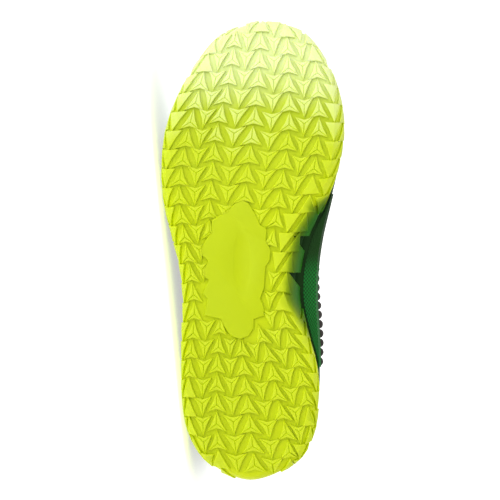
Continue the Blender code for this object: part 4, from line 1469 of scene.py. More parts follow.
    def part_top(self, lug: bpy.types.Object, side: float, notch: float) -> None:
        """Part a lug's top in two side facets and a base facet, along three lines from its middle.

        Args:
            lug: The pattern, with its top face selected.
            side: How far its side corners stand from the middle line.
            notch: How far the notch reaches into its base.
        """
        bpy.ops.object.mode_set(mode="EDIT")
        bpy.ops.mesh.poke(offset=0.0)
        bpy.ops.mesh.select_mode(type="EDGE")
        bpy.ops.mesh.select_all(action="DESELECT")
        bpy.ops.object.mode_set(mode="OBJECT")
        heart = lug.data.vertices[-1]
        heart.co = (0.36 * self.lug_aspect, 0.0, 1.0)
        waist = 0.45 * self.lug_aspect
        ends = ((waist, side), (waist, -side), (notch * self.lug_aspect, 0.0))
        for edge in lug.data.edges:
            if heart.index not in edge.vertices:
                continue
            other = lug.data.vertices[edge.vertices[0] + edge.vertices[1] - heart.index].co
            edge.select = any(math.hypot(other.x - x, other.y - y) < 0.01 for x, y in ends)
        bpy.ops.object.mode_set(mode="EDIT")
        bpy.ops.mesh.dissolve_edges(use_verts=False)
        bpy.ops.mesh.select_mode(type="FACE")
        bpy.ops.mesh.select_all(action="DESELECT")
        bpy.ops.object.mode_set(mode="OBJECT")
        for face in lug.data.polygons:
            face.select = face.center.z > 0.99

    def raise_top(self, lug: bpy.types.Object, plain: bool) -> np.ndarray:
        """Return a pattern's points in shares, with its facets raised over their grooves.

        Args:
            lug: The pattern.
            plain: Whether its top is one face.

        Returns:
            Rows of share along, share across, share of the height and how pale the rubber is there, a painted
            highlight that is full on the facets and less in the grooves between them.
        """
        points = np.array([(*v.co, 0.0) for v in lug.data.vertices])
        points[:, 0] /= self.lug_aspect
        top = points[:, 2] > 0.5
        points[top, 2] = 0.84
        # Painted highlight: the fourth value is full on the facets, less on the grooves between them and none
        # at the roots.
        points[top, 3] = 0.45
        points[top & (np.abs(points[:, 0] - 0.36) < 0.01) & (np.abs(points[:, 1]) < 0.01), 2] = 0.78
        for face in lug.data.polygons:
            if not face.select:
                continue
            base = not plain and face.center.x < 0.24 * self.lug_aspect
            for i in face.vertices:
                points[i, 2] = 1.0 if not base or points[i, 0] > 0.22 else 0.90
                points[i, 3] = 1.0
        return points

    def lugs(self) -> bpy.types.Object:
        """Lay a copy of the pattern on the tread for each lug.

        Returns:
            All the lugs as one mesh.
        """
        shapes = []
        for plain in (False, True):
            pattern = self.pattern(plain)
            shapes.append((self.raise_top(pattern, plain), [list(f.vertices) for f in pattern.data.polygons]))
            remove(pattern)
        vertices: list[Vector] = []
        faces: list[list[int]] = []
        tips: list[float] = []
        plate = plate_outline()
        for lane, tip, base, half, edge in self.tread.lugs():
            points, polygons = shapes[1 if edge else 0]
            first = len(vertices)
            for a, b, h, pale in points:
                x = mix(base, tip, a)
                y = self.tread.lane(lane, x) + b * half
                if inside_outline(x, y, plate):
                    h = min(h, self.plate_sunk)
                vertices.append(LYING @ Vector(self.tread.point(x, y, 1.0 - h)))
                tips.append(pale)
            faces += [[first + i for i in polygon] for polygon in polygons]
        mesh = bpy.data.meshes.new("outsole_lugs")
        mesh.from_pydata(vertices, [], faces)
        # The lugs' painted highlight is stored as the attribute pale.
        mesh.attributes.new("pale", "FLOAT", "POINT").data.foreach_set("value", tips)
        lugs = bpy.data.objects.new("outsole_lugs", mesh)
        bpy.context.scene.collection.objects.link(lugs)
        face_out(lugs)
        return lugs

    def cut_windows(self, cup: bpy.types.Object) -> None:
        """Cut the three-cornered windows through the waist's inner wall, where the foam shows.

        Args:
            cup: The cup.
        """
        for corners in self.tread.windows:
            deselect()
            bpy.ops.mesh.primitive_cylinder_add(vertices=3, radius=1.0, depth=self.pin_length)
            pin = bpy.context.object
            ends = sorted(pin.data.vertices, key=lambda vertex: (vertex.co.z, math.atan2(*vertex.co.xy)))
            for place, vertex in enumerate(ends):
                vertex.co = (*corners[place % 3], vertex.co.z + 0.5 * self.pin_length - 0.5 * MM)
            face_out(pin)
            pin.data.transform(LYING)
            apply_step(cup, "BOOLEAN", object=pin, operation="DIFFERENCE", solver="MANIFOLD")
            remove(pin)
            LOG.info("window cut: the cup has %d faces", len(cup.data.polygons))

    def plate(self) -> bpy.types.Object:
        """Make the smooth arch plate, with a shallow oval dish.

        Returns:
            The plate.
        """
        outline = plate_outline()
        deselect()
        bpy.ops.mesh.primitive_circle_add(vertices=len(outline), fill_type="NGON")
        plate = bpy.context.object
        plate.name = "arch_plate"
        low = self.tread.lug_height - self.plate_height
        for vertex, (x, y) in zip(plate.data.vertices, outline):
            vertex.co = (x, y, low)
        face_out(plate)
        bpy.ops.object.mode_set(mode="EDIT")
        bpy.ops.mesh.select_all(action="SELECT")
        rise = (0.0, 0.0, self.plate_height + 0.5 * MM)
        bpy.ops.mesh.extrude_region_move(TRANSFORM_OT_translate={"value": rise})
        bpy.ops.object.mode_set(mode="OBJECT")
        face_out(plate)
        deselect()
        bpy.ops.mesh.primitive_uv_sphere_add(segments=64, ring_count=32, radius=1.0)
        dish = bpy.context.object
        centre = Vector((*self.dish_place, low - 1.0 * MM))
        for vertex in dish.data.vertices:
            vertex.co = centre + vertex.co * Vector(self.dish_radii)
        apply_step(plate, "BOOLEAN", object=dish, operation="DIFFERENCE", solver="EXACT")
        remove(dish)
        round_edges(plate, self.plate_round, 3)
        plate.data.transform(LYING)
        return plate

    def shade(self, piece: bpy.types.Object, tip: float = 0.0, least: float = 0.0) -> None:
        """Store the painted highlight on tops and toe, and the painted shade to dark green up the waist's
        inner wall.

        Args:
            piece: A piece of the outsole.
            tip: How near the piece stands to the lugs' tips, where it has no such value of its own; it fades
                deeper than the piece's face, a painted shade in the plate's dish.
            least: The least painted shade of the piece, which darkens a face that stands full in the lights
                with no facets to break its light.
        """
        back = LYING.inverted()
        count = len(piece.data.vertices)
        pale = piece.data.attributes.get("pale")
        tips = np.full(count, tip)
        if pale:
            pale.data.foreach_get("value", tips)
        else:
            pale = piece.data.attributes.new("pale", "FLOAT", "POINT")
        painted_shades = np.zeros(count)
        for i, vertex in enumerate(piece.data.vertices):
            x, y, z = back @ vertex.co
            # The painted shade up the waist's inner wall starts at this line.
            start = PAINTED_SHADE_LINE.read("across", x / FORM.length) * MM
            # Painted shade in the plate's dish: the highlight fades where the surface lies deeper than the
            # face.
            if tip:
                tips[i] = tip * (1.0 - smooth_step((z - FORM.bend(x) - 0.7 * MM) / (0.5 * MM)))
            # Painted shade: up the waist's inner wall, and never less than the piece's least painted shade.
            painted_shades[i] = max(least, smooth_step((y - start) / self.painted_shade_reach))
            # Painted highlight: the toe is whitened.
            toe = smooth_step((x / FORM.length - self.toe_highlight_start) / self.toe_highlight_reach)
            tips[i] = mix(self.tip_painted_highlight * tips[i], self.toe_painted_highlight, toe)
        pale.data.foreach_set("value", tips)
        piece.data.attributes.new("shade", "FLOAT", "POINT").data.foreach_set("value", painted_shades)


@dataclass
class Midsole:
    """The foam between rubber and upper, with the woven band of its inner side."""

    side: float = 4.6 * MM
    floor: float = 6.2 * MM
    ledge_inset: float = 1.0 * MM
    ledge_rise: float = 1.5 * MM
    basin_gap: float = 0.9 * MM
    soft: float = 1.2 * MM
    hollow: float = 0.8 * MM
    band_start: float = 0.27
    band_end: float = 0.60
    band_proud: float = 0.5 * MM
    band_thickness: float = 0.6 * MM

    def build(self) -> None:
        """Make the foam body and lay the band on it."""
        rings: list[Ring] = []
        for share in (1.0, 0.5, 0.0):
            rings.append(lambda s, share=share: self.bottom(s, share))
        rings.append(lambda s: FORM.wall_point(s, 1.0, self.side, self.floor))
        rings.append(lambda s: self.wall(s, 0.0))
        for share in (0.0, 0.12, 0.5, 0.88, 1.0):
            rings.append(lambda s, share=share: self.wall(s, share, True))
        rings.append(lambda s: self.rim(s, 0.35))
        rings.append(lambda s: self.rim(s, 1.0))
        for share in (1.0, 0.0):
            rings.append(lambda s, share=share: self.basin(s, share))
        for share in (0.5, 1.0):
            rings.append(lambda s, share=share: self.bed(s, share))
        body = lay_rings("midsole_foam", 240, rings)
        dress(body, Finish.FOAM, ("midsole",), 50)
        band = self.band()
        dress(band, Finish.ARCH_WEAVE, (), 50)
        LOG.info("midsole: foam and arch band")

    def bottom(self, station: float, share: float) -> Point:
        """Return a point of the foam's underside.

        Args:
            station: The place round the shoe.
            share: How far it lies from the edge to the middle line.

        Returns:
            The point in the shoe's own frame.
        """
        near = FORM.wall_point(station, 0.0, self.side, self.floor)
        far = FORM.wall_point(-station, 0.0, self.side, self.floor)
        point = mix(near, 0.5 * (near + far), share)
        point[2] = self.floor + FORM.bend(point[0])
        return point

    def wall(self, station: float, share: float, outer: bool = False) -> Point:
        """Return a point of the foam's side.

        Args:
            station: The place round the shoe.
            share: 0 at its foot and 1 under the rim.
            outer: Whether it lies on the face that shows, over the rubber's edge.

        Returns:
            The point in the shoe's own frame.
        """
        top = FORM.rubber_top(station, 1)
        if not outer:
            return FORM.side_point(station, FORM.rubber, self.side, top + FORM.gap)
        low = top + self.ledge_rise
        high = FORM.rim_top(station) - self.soft
        inset = self.ledge_inset * (1.0 - share) ** 2
        hollow = self.hollow * math.sin(math.pi * share)
        return FORM.side_point(station, FORM.rim, inset + hollow, mix(low, high, share))

    def rim(self, station: float, share: float) -> Point:
        """Return a point of the rim's soft edge.

        Args:
            station: The place round the shoe.
            share: 0 at the side and 1 on top.

        Returns:
            The point in the shoe's own frame.
        """
        angle = share * math.pi / 2
        inset = self.soft * (1.0 - math.cos(angle))
        height = FORM.rim_top(station) - self.soft * (1.0 - math.sin(angle))
        return FORM.side_point(station, FORM.rim, inset, height)

    def basin(self, station: float, share: float) -> Point:
        """Return a point of the basin's wall.

        Args:
            station: The place round the shoe.
            share: 0 on its floor and 1 at the rim.

        Returns:
            The point in the shoe's own frame.
        """
        floor = FORM.bed(FORM.rim.inset(station, FORM.feather_inset)[0])
        rim = FORM.rim_top(station) + FORM.bend(FORM.rim.point(station)[0])
        height = mix(floor, rim, share)
        level = FORM.level_at_height(station, height) if share else 0.0
        x, y = FORM.upper_point(station, level)[:2] + FORM.rim.outward(station) * self.basin_gap
        return np.array([x, y, height])

    def bed(self, station: float, share: float) -> Point:
        """Return a point of the basin's floor.

        Args:
            station: The place round the shoe.
            share: How far it lies from the edge to the middle line.

        Returns:
            The point in the shoe's own frame.
        """
        near = self.basin(station, 0.0)
        far = self.basin(-station, 0.0)
        point = mix(near, 0.5 * (near + far), share)
        point[2] = FORM.bed(point[0])
        return point

    def band(self) -> bpy.types.Object:
        """Make the woven band on the inner side, between the rubber's teeth and the ribs.

        Returns:
            The band.
        """

        def place(along: float, across: float) -> Point:
            """Return a point of the band.

            Args:
                along: 0 at its heel end and 1 at its toe end.
                across: 0 under the ledge and 1 under the rim.

            Returns:
                The point in the shoe's own frame.
            """
            station = mix(self.band_start, self.band_end, along)
            if across >= 0.5:
                point = self.wall(station, mix(0.0, 0.94, 2.0 * across - 1.0), True)
                point[:2] += FORM.rim.outward(station) * self.band_proud
                return point
            inner = self.wall(station, 0.0)
            outer = self.wall(station, 0.0, True)
            outer[:2] += FORM.rim.outward(station) * self.band_proud
            span = max(float(np.linalg.norm(outer[:2] - inner[:2])), 0.1 * MM)
            first = min(0.97, (self.side + 0.8 * MM) / span)
            point = mix(inner, outer, mix(first, 1.0, 2.0 * across))
            point[2] -= 0.4 * MM * (1.0 - 2.0 * across)
            return point

        length = (self.band_end - self.band_start) * FORM.rim.round_length / 2
        band = lay_sheet("arch_band", 60, 10, place, (length, 20 * MM))
        apply_step(band, "SOLIDIFY", thickness=self.band_thickness, offset=-1.0)
        back = LYING.inverted()
        # Painted shade: the band darkens towards its toe end, where the arch lies in shade.
        painted_shades = [smooth_step(((back @ v.co).x / FORM.length - 0.44) / 0.06) for v in band.data.vertices]
        band.data.attributes.new("deep", "FLOAT", "POINT").data.foreach_set("value", painted_shades)
        return band


@dataclass
class Upper:
    """The textile upper with its lining, heel counter, eyestay and side ribs."""

    wall: float = 2.5 * MM
    collar_pad: float = 4.5 * MM
    overlay_gap: float = 0.35 * MM
    eyestay_width: float = 15 * MM
    eyelet_margin: float = 7 * MM
    eyelet_radius: float = 2.5 * MM
    eyelet_pairs: int = 6
    eyelet_first: float = 0.435
    eyelet_last: float = VAMP_STATION - 0.030
    eyestay_thickness: float = 1.3 * MM
    ring_width: float = 0.9 * MM
    ring_depth: float = 0.9 * MM
    rib_start: float = 0.27
    rib_end: float = 0.50
    rib_pitch: float = 6.2 * MM
    rib_depth: float = 4.5 * MM
    rib_skin: float = 0.9 * MM
    rib_height: float = 24 * MM
    counter_reach: float = 0.25
    counter_thickness: float = 1.4 * MM
    stitch_pitch: float = 2.6 * MM
    stitch_radius: float = 0.32 * MM
    columns: int = 216
    levels: int = 30

    def build(self) -> None:
        """Make the shell, then its overlays."""
        shell = self.shell()
        stay = self.eyestay()
        self.cut_eyelets([shell, stay])
        dress(shell, Finish.UPPER_CLOTH, ("upper",), 60)
        dress(stay, Finish.EYESTAY, ("eyestay",), 40)
        dress(self.rings(), Finish.RING, (), 50)
        counter = self.counter()
        dress(counter, Finish.COUNTER, ("heel_counter",), 40)
        for name, side in (("side_ribs_medial", 1), ("side_ribs_lateral", -1)):
            dress(self.ribs(name, side), Finish.RIBS, (name,), 50)
        self.stitches()
        LOG.info("upper: shell, lining, eyestay, counter, ribs and stitches")

    def thickness(self, station: float, level: float) -> float:
        """Return the wall's thickness, padded round the collar.

        Args:
            station: The place round the shoe.
            level: 0 at the sole and 1 at the opening.

        Returns:
            The thickness.
        """
        padded = 1.0 - smooth_step((abs(station) - 0.30) / 0.10)
        high = smooth_step((level - 0.50) / 0.20) * (1.0 - 0.6 * smooth_step((level - 0.90) / 0.10))
        return self.wall + self.collar_pad * padded * high

    def crease(self, station: float, level: float) -> float:
        """Return the flex creases behind the toe box and the pinch at the ankle.

        Args:
            station: The place round the shoe.
            level: 0 at the sole and 1 at the opening.

        Returns:
            How far the face stands out, which is below zero in a crease.
        """
        depth = 0.0
        for middle, size in ((0.655, 0.9), (0.705, 0.7), (0.60, 0.5)):
            near = (abs(station) - middle - 0.03 * (1.0 - level)) / 0.012
            depth -= size * MM * math.exp(-near * near) * smooth_step((level - 0.35) / 0.3)
        near = (abs(station) - 0.36 + 0.10 * (1.0 - level)) / 0.02
        pinch = math.exp(-near * near) * smooth_step((0.9 - level) / 0.3) * smooth_step(level / 0.3)
        return depth - 0.6 * MM * pinch

    def shell(self) -> bpy.types.Object:
        """Make the hollow wall: outside, rolled edge and lining in one closed skin.

        Returns:
            The shell.
        """
        outer = self.levels
        inner = 16
        rows = outer + 3 + inner

        def place(along: float, across: float) -> Point:
            """Return a point of the skin.

            Args:
                along: The share of the way round the shoe.
                across: The share of the way from the outside's foot, over the edge, to the lining's.

            Returns:
                The point in the shoe's own frame.
            """
            row = round(across * rows)
            station = 2.0 * along - 1.0
            if row <= outer:
                level = (row / outer) ** 0.9
                return FORM.off_upper(station, level, self.crease(station, level))
            if row <= outer + 2:
                share = (row - outer) / 3
                return FORM.off_upper(station, 1.0, -self.thickness(station, 1.0) * share)
            level = 1.0 - (row - outer - 3) / inner
            return FORM.off_upper(station, level, -self.thickness(station, level))

        shell = lay_sheet("upper_shell", self.columns, rows, place, (1.0, 1.0))
        shell.data.materials.append(material_of(Finish.UPPER_CLOTH))
        shell.data.materials.append(material_of(Finish.LINING))
        layer = shell.data.uv_layers[0].data
        size = (FORM.rim.round_length, 160 * MM)
        for face in shell.data.polygons:
            shares = np.mean([layer[i].uv for i in face.loop_indices], axis=0)
            row = shares[1] * rows
            face.select = abs(2.0 * shares[0] - 1.0) > VAMP_STATION and outer < row < outer + 3
            face.material_index = 1 if row > outer + 2 else 0
        for corner in layer:
            corner.uv = (corner.uv[0] * size[0], corner.uv[1] * size[1])
        use(shell)
        bpy.ops.object.mode_set(mode="EDIT")
        bpy.ops.mesh.select_mode(type="FACE")
        bpy.ops.object.mode_set(mode="OBJECT")
        bpy.ops.object.mode_set(mode="EDIT")
        bpy.ops.mesh.delete(type="FACE")
        bpy.ops.mesh.select_all(action="SELECT")
        bpy.ops.mesh.remove_doubles(threshold=0.02 * MM)
        bpy.ops.mesh.select_mode(type="VERT")
        bpy.ops.mesh.select_all(action="DESELECT")
        bpy.ops.mesh.select_non_manifold(extend=False)
        bpy.ops.mesh.bridge_edge_loops()
        bpy.ops.object.mode_set(mode="OBJECT")
        face_out(shell)
        return shell

    def patch(
        self,
        name: str,
        span: tuple[float, float],
        cells: tuple[int, int],
        edges: tuple[Callable[[float], float], Callable[[float], float]],
        lift: Callable[[float, float], float],
        thickness: float,
    ) -> bpy.types.Object:
        """Lay an overlay on the upper.

        Args:
            name: The object's name.
            span: Its first and last station.
            cells: Faces along and across.
            edges: Its lower and upper level at a station.
            lift: How far its face stands off the upper, for shares along and across.
            thickness: Its thickness.

        Returns:
            The overlay.
        """

        def place(along: float, across: float) -> Point:
            """Return a point of the overlay's inner face.

            Args:
                along: The share of its span.
                across: The share from its lower to its upper edge.

            Returns:
                The point in the shoe's own frame.
            """
            station = mix(span[0], span[1], along)
            level = mix(edges[0](station), edges[1](station), across)
            return FORM.off_upper(station, level, lift(along, across))

        length = abs(span[1] - span[0]) * FORM.rim.round_length / 2
        sheet = lay_sheet(name, cells[0], cells[1], place, (length, 30 * MM))
        if span[1] < span[0]:
            use(sheet)
            sheet.data.flip_normals()
        apply_step(sheet, "SOLIDIFY", thickness=thickness, offset=1.0)
        round_edges(sheet, 0.35 * thickness)
        face_out(sheet)
        return sheet

    def above_rim(self, station: float) -> float:
        """Return the level just over the midsole's rim."""
        height = FORM.rim_top(station) + FORM.bend(FORM.rim.point(station)[0]) + 3 * FORM.gap
        return FORM.level_at_height(station, height)

    def counter_top(self, station: float) -> float:
        """Return the level of the heel cup's upper edge."""
        return mix(0.62, 0.30, smooth_step(abs(station) / self.counter_reach))

    def counter(self) -> bpy.types.Object:
        """Make the moulded cup round the heel.

        Returns:
            The cup.
        """
        span = (-self.counter_reach, self.counter_reach)
        edges = (self.above_rim, self.counter_top)
        gap = self.overlay_gap
        return self.patch("heel_cup", span, (60, 16), edges, lambda a, b: gap, self.counter_thickness)

    def ribs(self, name: str, side: int) -> bpy.types.Object:
        """Make a panel of upright ribs over the waist.

        Args:
            name: The panel's name.
            side: 1 on the inner side and -1 on the outer side.

        Returns:
            The panel.
        """
        count = round((self.rib_end - self.rib_start) * FORM.rim.round_length / 2 / self.rib_pitch)

        def high(station: float) -> float:
            """Return the level of the panel's upper edge.

            Args:
                station: The place round the shoe.

            Returns:
                The level.
            """
            middle = 0.5 * (self.rib_start + self.rib_end)
            taper = 1.0 - 0.45 * abs(abs(station) - middle) / (self.rib_end - middle)
            return FORM.level_at_height(station, FORM.rim_top(station) + self.rib_height * taper)

        def lift(along: float, across: float) -> float:
            """Return how far the ribbed face stands off the upper.

            Args:
                along: The share of the panel's span.
                across: The share from its lower to its upper edge.

            Returns:
                The distance.
            """
            wave = math.sqrt(max(0.0, 1.0 - (2.0 * ((along * count) % 1.0) - 1.0) ** 2))
            crown = math.sin(math.pi * min(1.0, max(0.0, 0.08 + 0.84 * across))) ** 0.5
            return self.overlay_gap + (self.rib_depth - self.rib_skin) * (0.15 + 0.85 * wave) * crown

        span = (side * self.rib_start, side * self.rib_end)
        edges = (self.above_rim, high)
        return self.patch(name + "_panel", span, (count * 12, 12), edges, lift, self.rib_skin)

    def eyestay(self) -> bpy.types.Object:
        """Make the lace band round the throat, joined in front of it.

        Returns:
            The band.
        """
        first, last = 15 / 36, 25 / 36
        pieces = []
        for side in (1, -1):

            def place(along: float, across: float, side: int = side) -> Point:
                """Return a point of the band's inner face.

                Args:
                    along: 0 at the collar and 1 in front of the throat.
                    across: 0 at its outer edge and 1 at the throat.
                    side: 1 on the inner side and -1 on the outer side.

                Returns:
                    The point in the shoe's own frame.
                """
                station = side * mix(first, last, along)
                front = max(0.0, (abs(station) - VAMP_STATION + 0.03) / (last - VAMP_STATION + 0.03))
                width = self.eyestay_width * math.sqrt(max(0.02, 1.0 - front * front))
                low = FORM.level_from_edge(station, width)
                high = 1.0 if abs(station) >= VAMP_STATION - 1e-9 else FORM.level_from_edge(station, 0.6 * MM)
                return FORM.off_upper(station, mix(low, high, across), self.overlay_gap)

            sheet = lay_sheet(f"eyestay_{side}", 88, 12, place, (100 * MM, self.eyestay_width))
            if side < 0:
                sheet.data.flip_normals()
            pieces.append(sheet)
        stay = join("lace_band", pieces)
        merge_doubles(stay, 0.15 * MM)
        apply_step(stay, "SOLIDIFY", thickness=self.eyestay_thickness, offset=1.0)
        round_edges(stay, 0.4 * MM)
        return stay

    def eyelet(self, pair: int, side: int) -> tuple[float, float]:
        """Return an eyelet's station and level."""
        station = side * mix(self.eyelet_first, self.eyelet_last, pair / (self.eyelet_pairs - 1))
        return station, FORM.level_from_edge(station, self.eyelet_margin)

    def eyelet_frame(self, pair: int, side: int, lift: float) -> Matrix:
        """Return what brings a piece that stands on the origin to an eyelet.

        Args:
            pair: The pair of eyelets, counted from the collar.
            side: 1 on the inner side and -1 on the outer side.
            lift: How far off the upper it stands.

        Returns:
            The turn and shift.
        """
        station, level = self.eyelet(pair, side)
        turn = Vector(FORM.upper_normal(station, level)).to_track_quat("Z", "Y").to_matrix().to_4x4()
        return LYING @ Matrix.Translation(Vector(FORM.off_upper(station, level, lift))) @ turn

    def cut_eyelets(self, pieces: Sequence[bpy.types.Object]) -> None:
        """Punch the eyelets.

        Args:
            pieces: The pieces that they pass through.
        """
        pins = []
        for pair in range(self.eyelet_pairs):
            for side in (1, -1):
                deselect()
                bpy.ops.mesh.primitive_cylinder_add(vertices=24, radius=self.eyelet_radius, depth=16 * MM)
                pin = bpy.context.object
                pin.data.transform(self.eyelet_frame(pair, side, 0.0))
                pins.append(pin)
        tool = join("eyelet_pins", pins)
        for piece in pieces:
            apply_step(piece, "BOOLEAN", object=tool, operation="DIFFERENCE", solver="EXACT")
        remove(tool)

    def rings(self) -> bpy.types.Object:
        """Make the moulded rims of the eyelets, all copies of one rounded ring.

        Returns:
            The rims as one piece.
        """
        deselect()
        bpy.ops.mesh.primitive_cylinder_add(
            vertices=20,
            radius=self.eyelet_radius + self.ring_width,
            depth=self.ring_depth,
            end_fill_type="NOTHING",
        )
        ring = bpy.context.object
        ring.name = "eyelet_ring"
        apply_step(ring, "SOLIDIFY", thickness=self.ring_width + 0.2 * MM, offset=-1.0)
        round_edges(ring, 0.3 * MM)
        lift = self.overlay_gap + self.eyestay_thickness + 0.2 * MM
        copies = []
        for pair in range(self.eyelet_pairs):
            for side in (1, -1):
                copy = ring.copy()
                copy.data = ring.data.copy()
                bpy.context.scene.collection.objects.link(copy)
                copy.data.transform(self.eyelet_frame(pair, side, lift))
                copies.append(copy)
        remove(ring)
        return join("eyelet_rings", copies)

    def stitches(self) -> None:
        """Run rows of stitches along the lace band and the upper edge of the heel cup.

        Each stitch follows the upper by itself, so its points are worked out and not copied.
        """
        lines: list[Callable[[float], tuple[float, float]]] = []
        for side in (1, -1):
            for drop in (2.0 * MM, self.eyestay_width - 2.0 * MM):

                def band_line(share: float, side: int = side, drop: float = drop) -> tuple[float, float]:
                    """Return a place of a stitch line along the lace band."""
                    station = side * mix(0.425, 0.60, share)
                    return station, FORM.level_from_edge(station, drop)

                lines.append(band_line)

        def cup_line(share: float) -> tuple[float, float]:
            """Return a place of the stitch line of the heel cup."""
            station = mix(-self.counter_reach + 0.012, self.counter_reach - 0.012, share)
            return station, self.counter_top(station) - 0.035

        lines.append(cup_line)
        vertices: list[Vector] = []
        faces: list[tuple[int, ...]] = []
        lift = self.overlay_gap + self.eyestay_thickness + 0.12 * MM
        for line in lines:
            ends = [FORM.upper_point(*line(share)) for share in np.linspace(0.0, 1.0, 17)]
            count = round(sum(np.linalg.norm(b - a) for a, b in zip(ends, ends[1:])) / self.stitch_pitch)
            for i in range(count):
                ends = [line((i + share) / count) for share in (0.15, 0.85)]
                points = [np.array(FORM.off_upper(*end, lift)) for end in ends]
                normal = FORM.upper_normal(*ends[0])
                ahead = points[1] - points[0]
                ahead /= np.linalg.norm(ahead)
                wide = np.cross(normal, ahead)
                self.bead(vertices, faces, points, wide, normal)
        mesh = bpy.data.meshes.new("stitching")
        mesh.from_pydata(vertices, [], faces)
        stitching = bpy.data.objects.new("stitching", mesh)
        bpy.context.scene.collection.objects.link(stitching)
        mesh.uv_layers.new(name="UVMap")
        merge_doubles(stitching, 0.001 * MM)
        dress(stitching, Finish.THREAD, (), 60)

    def bead(self, vertices: list, faces: list, points: Sequence[Point], wide: Point, normal: Point) -> None:
        """Add one stitch: a small rounded bar between two points.

        Args:
            vertices: The mesh's points so far.
            faces: Its faces so far.
            points: The stitch's two ends.
            wide: The direction across it.
            normal: The direction straight out of the upper.
        """
        first = len(vertices)
        for share, size in ((0.0, 0.45), (0.2, 1.0), (0.8, 1.0), (1.0, 0.45)):
            centre = mix(points[0], points[1], share)
            for k in range(6):
                angle = 2 * math.pi * k / 6
                offset = self.stitch_radius * size * (math.cos(angle) * wide + math.sin(angle) * normal)
                vertices.append(LYING @ Vector(centre + offset))
        for ring in range(3):
            for k in range(6):
                j = (k + 1) % 6
                a = first + 6 * ring
                faces.append((a + k, a + j, a + 6 + j, a + 6 + k))
        faces.append(tuple(first + k for k in range(5, -1, -1)))
        faces.append(tuple(first + 18 + k for k in range(6)))


@dataclass
class Tongue:
    """The padded tongue under the throat."""

    upper: Upper
    thickness: float = 4 * MM
    first: float = 0.425
    last: float = VAMP_STATION - 0.012
    lean: tuple[float, float, float] = (-8.5 * MM, 0.0, 7.0 * MM)

    def build(self) -> None:
        """Make the tongue."""
        piece = lay_sheet("tongue_pad", 40, 24, self.place, (110 * MM, 70 * MM))
        apply_step(piece, "SOLIDIFY", thickness=self.thickness, offset=0.0)
        round_edges(piece, 1.4 * MM, 3)
        merge_doubles(piece)
        dress(piece, Finish.TONGUE_CLOTH, ("tongue",), 60)
        LOG.info("tongue")

    def place(self, along: float, across: float) -> Point:
        """Return a point of the tongue's middle sheet.

        Args:
            along: 0 at the vamp and 1 at the free end.
            across: 0 at the outer edge and 1 at the inner edge.

        Returns:
            The point in the shoe's own frame.
        """
        rise = along * 1.33
        share = 2.0 * across - 1.0
        station = mix(self.last, self.first, min(1.0, rise))
        point = self.section(station, share)
        if rise > 1.0:
            step = (rise - 1.0) / 0.33 * 3.0
            middle = 0.5 * (self.section(station, -1.0) + self.section(station, 1.0))
            squeeze = 1.0 - 0.29 * smooth_step(step / 3.0 + 0.15)
            point = (point - middle) * np.array([1.0, squeeze, 1.0]) + middle + np.array(self.lean) * step
        return point

    def section(self, station: float, share: float) -> Point:
        """Return a point across the tongue.

        Args:
            station: The place along the throat.
            share: The place across, -1 and 1 at the hidden edges.

        Returns:
            The point in the shoe's own frame.
        """
        below = self.upper.wall + 2 * FORM.gap + 0.5 * self.thickness
        reach = self.upper.eyelet_margin + 6 * MM

        def edge(value: float) -> Point:
            """Return a point under the upper beside the throat.

            Args:
                value: The place across, past a half on either side.

            Returns:
                The point in the shoe's own frame.
            """
            under = (abs(value) - 0.5) / 0.5 * reach
            side = math.copysign(station, value)
            return FORM.off_upper(side, FORM.level_from_edge(side, max(under, 0.5 * MM)), -below)

        if abs(share) >= 0.5:
            return edge(share)
        point = mix(edge(-0.5), edge(0.5), 0.5 + share)
        return point + np.array([0.0, 0.0, 1.2 * MM * (1.0 - 4.0 * share * share)])


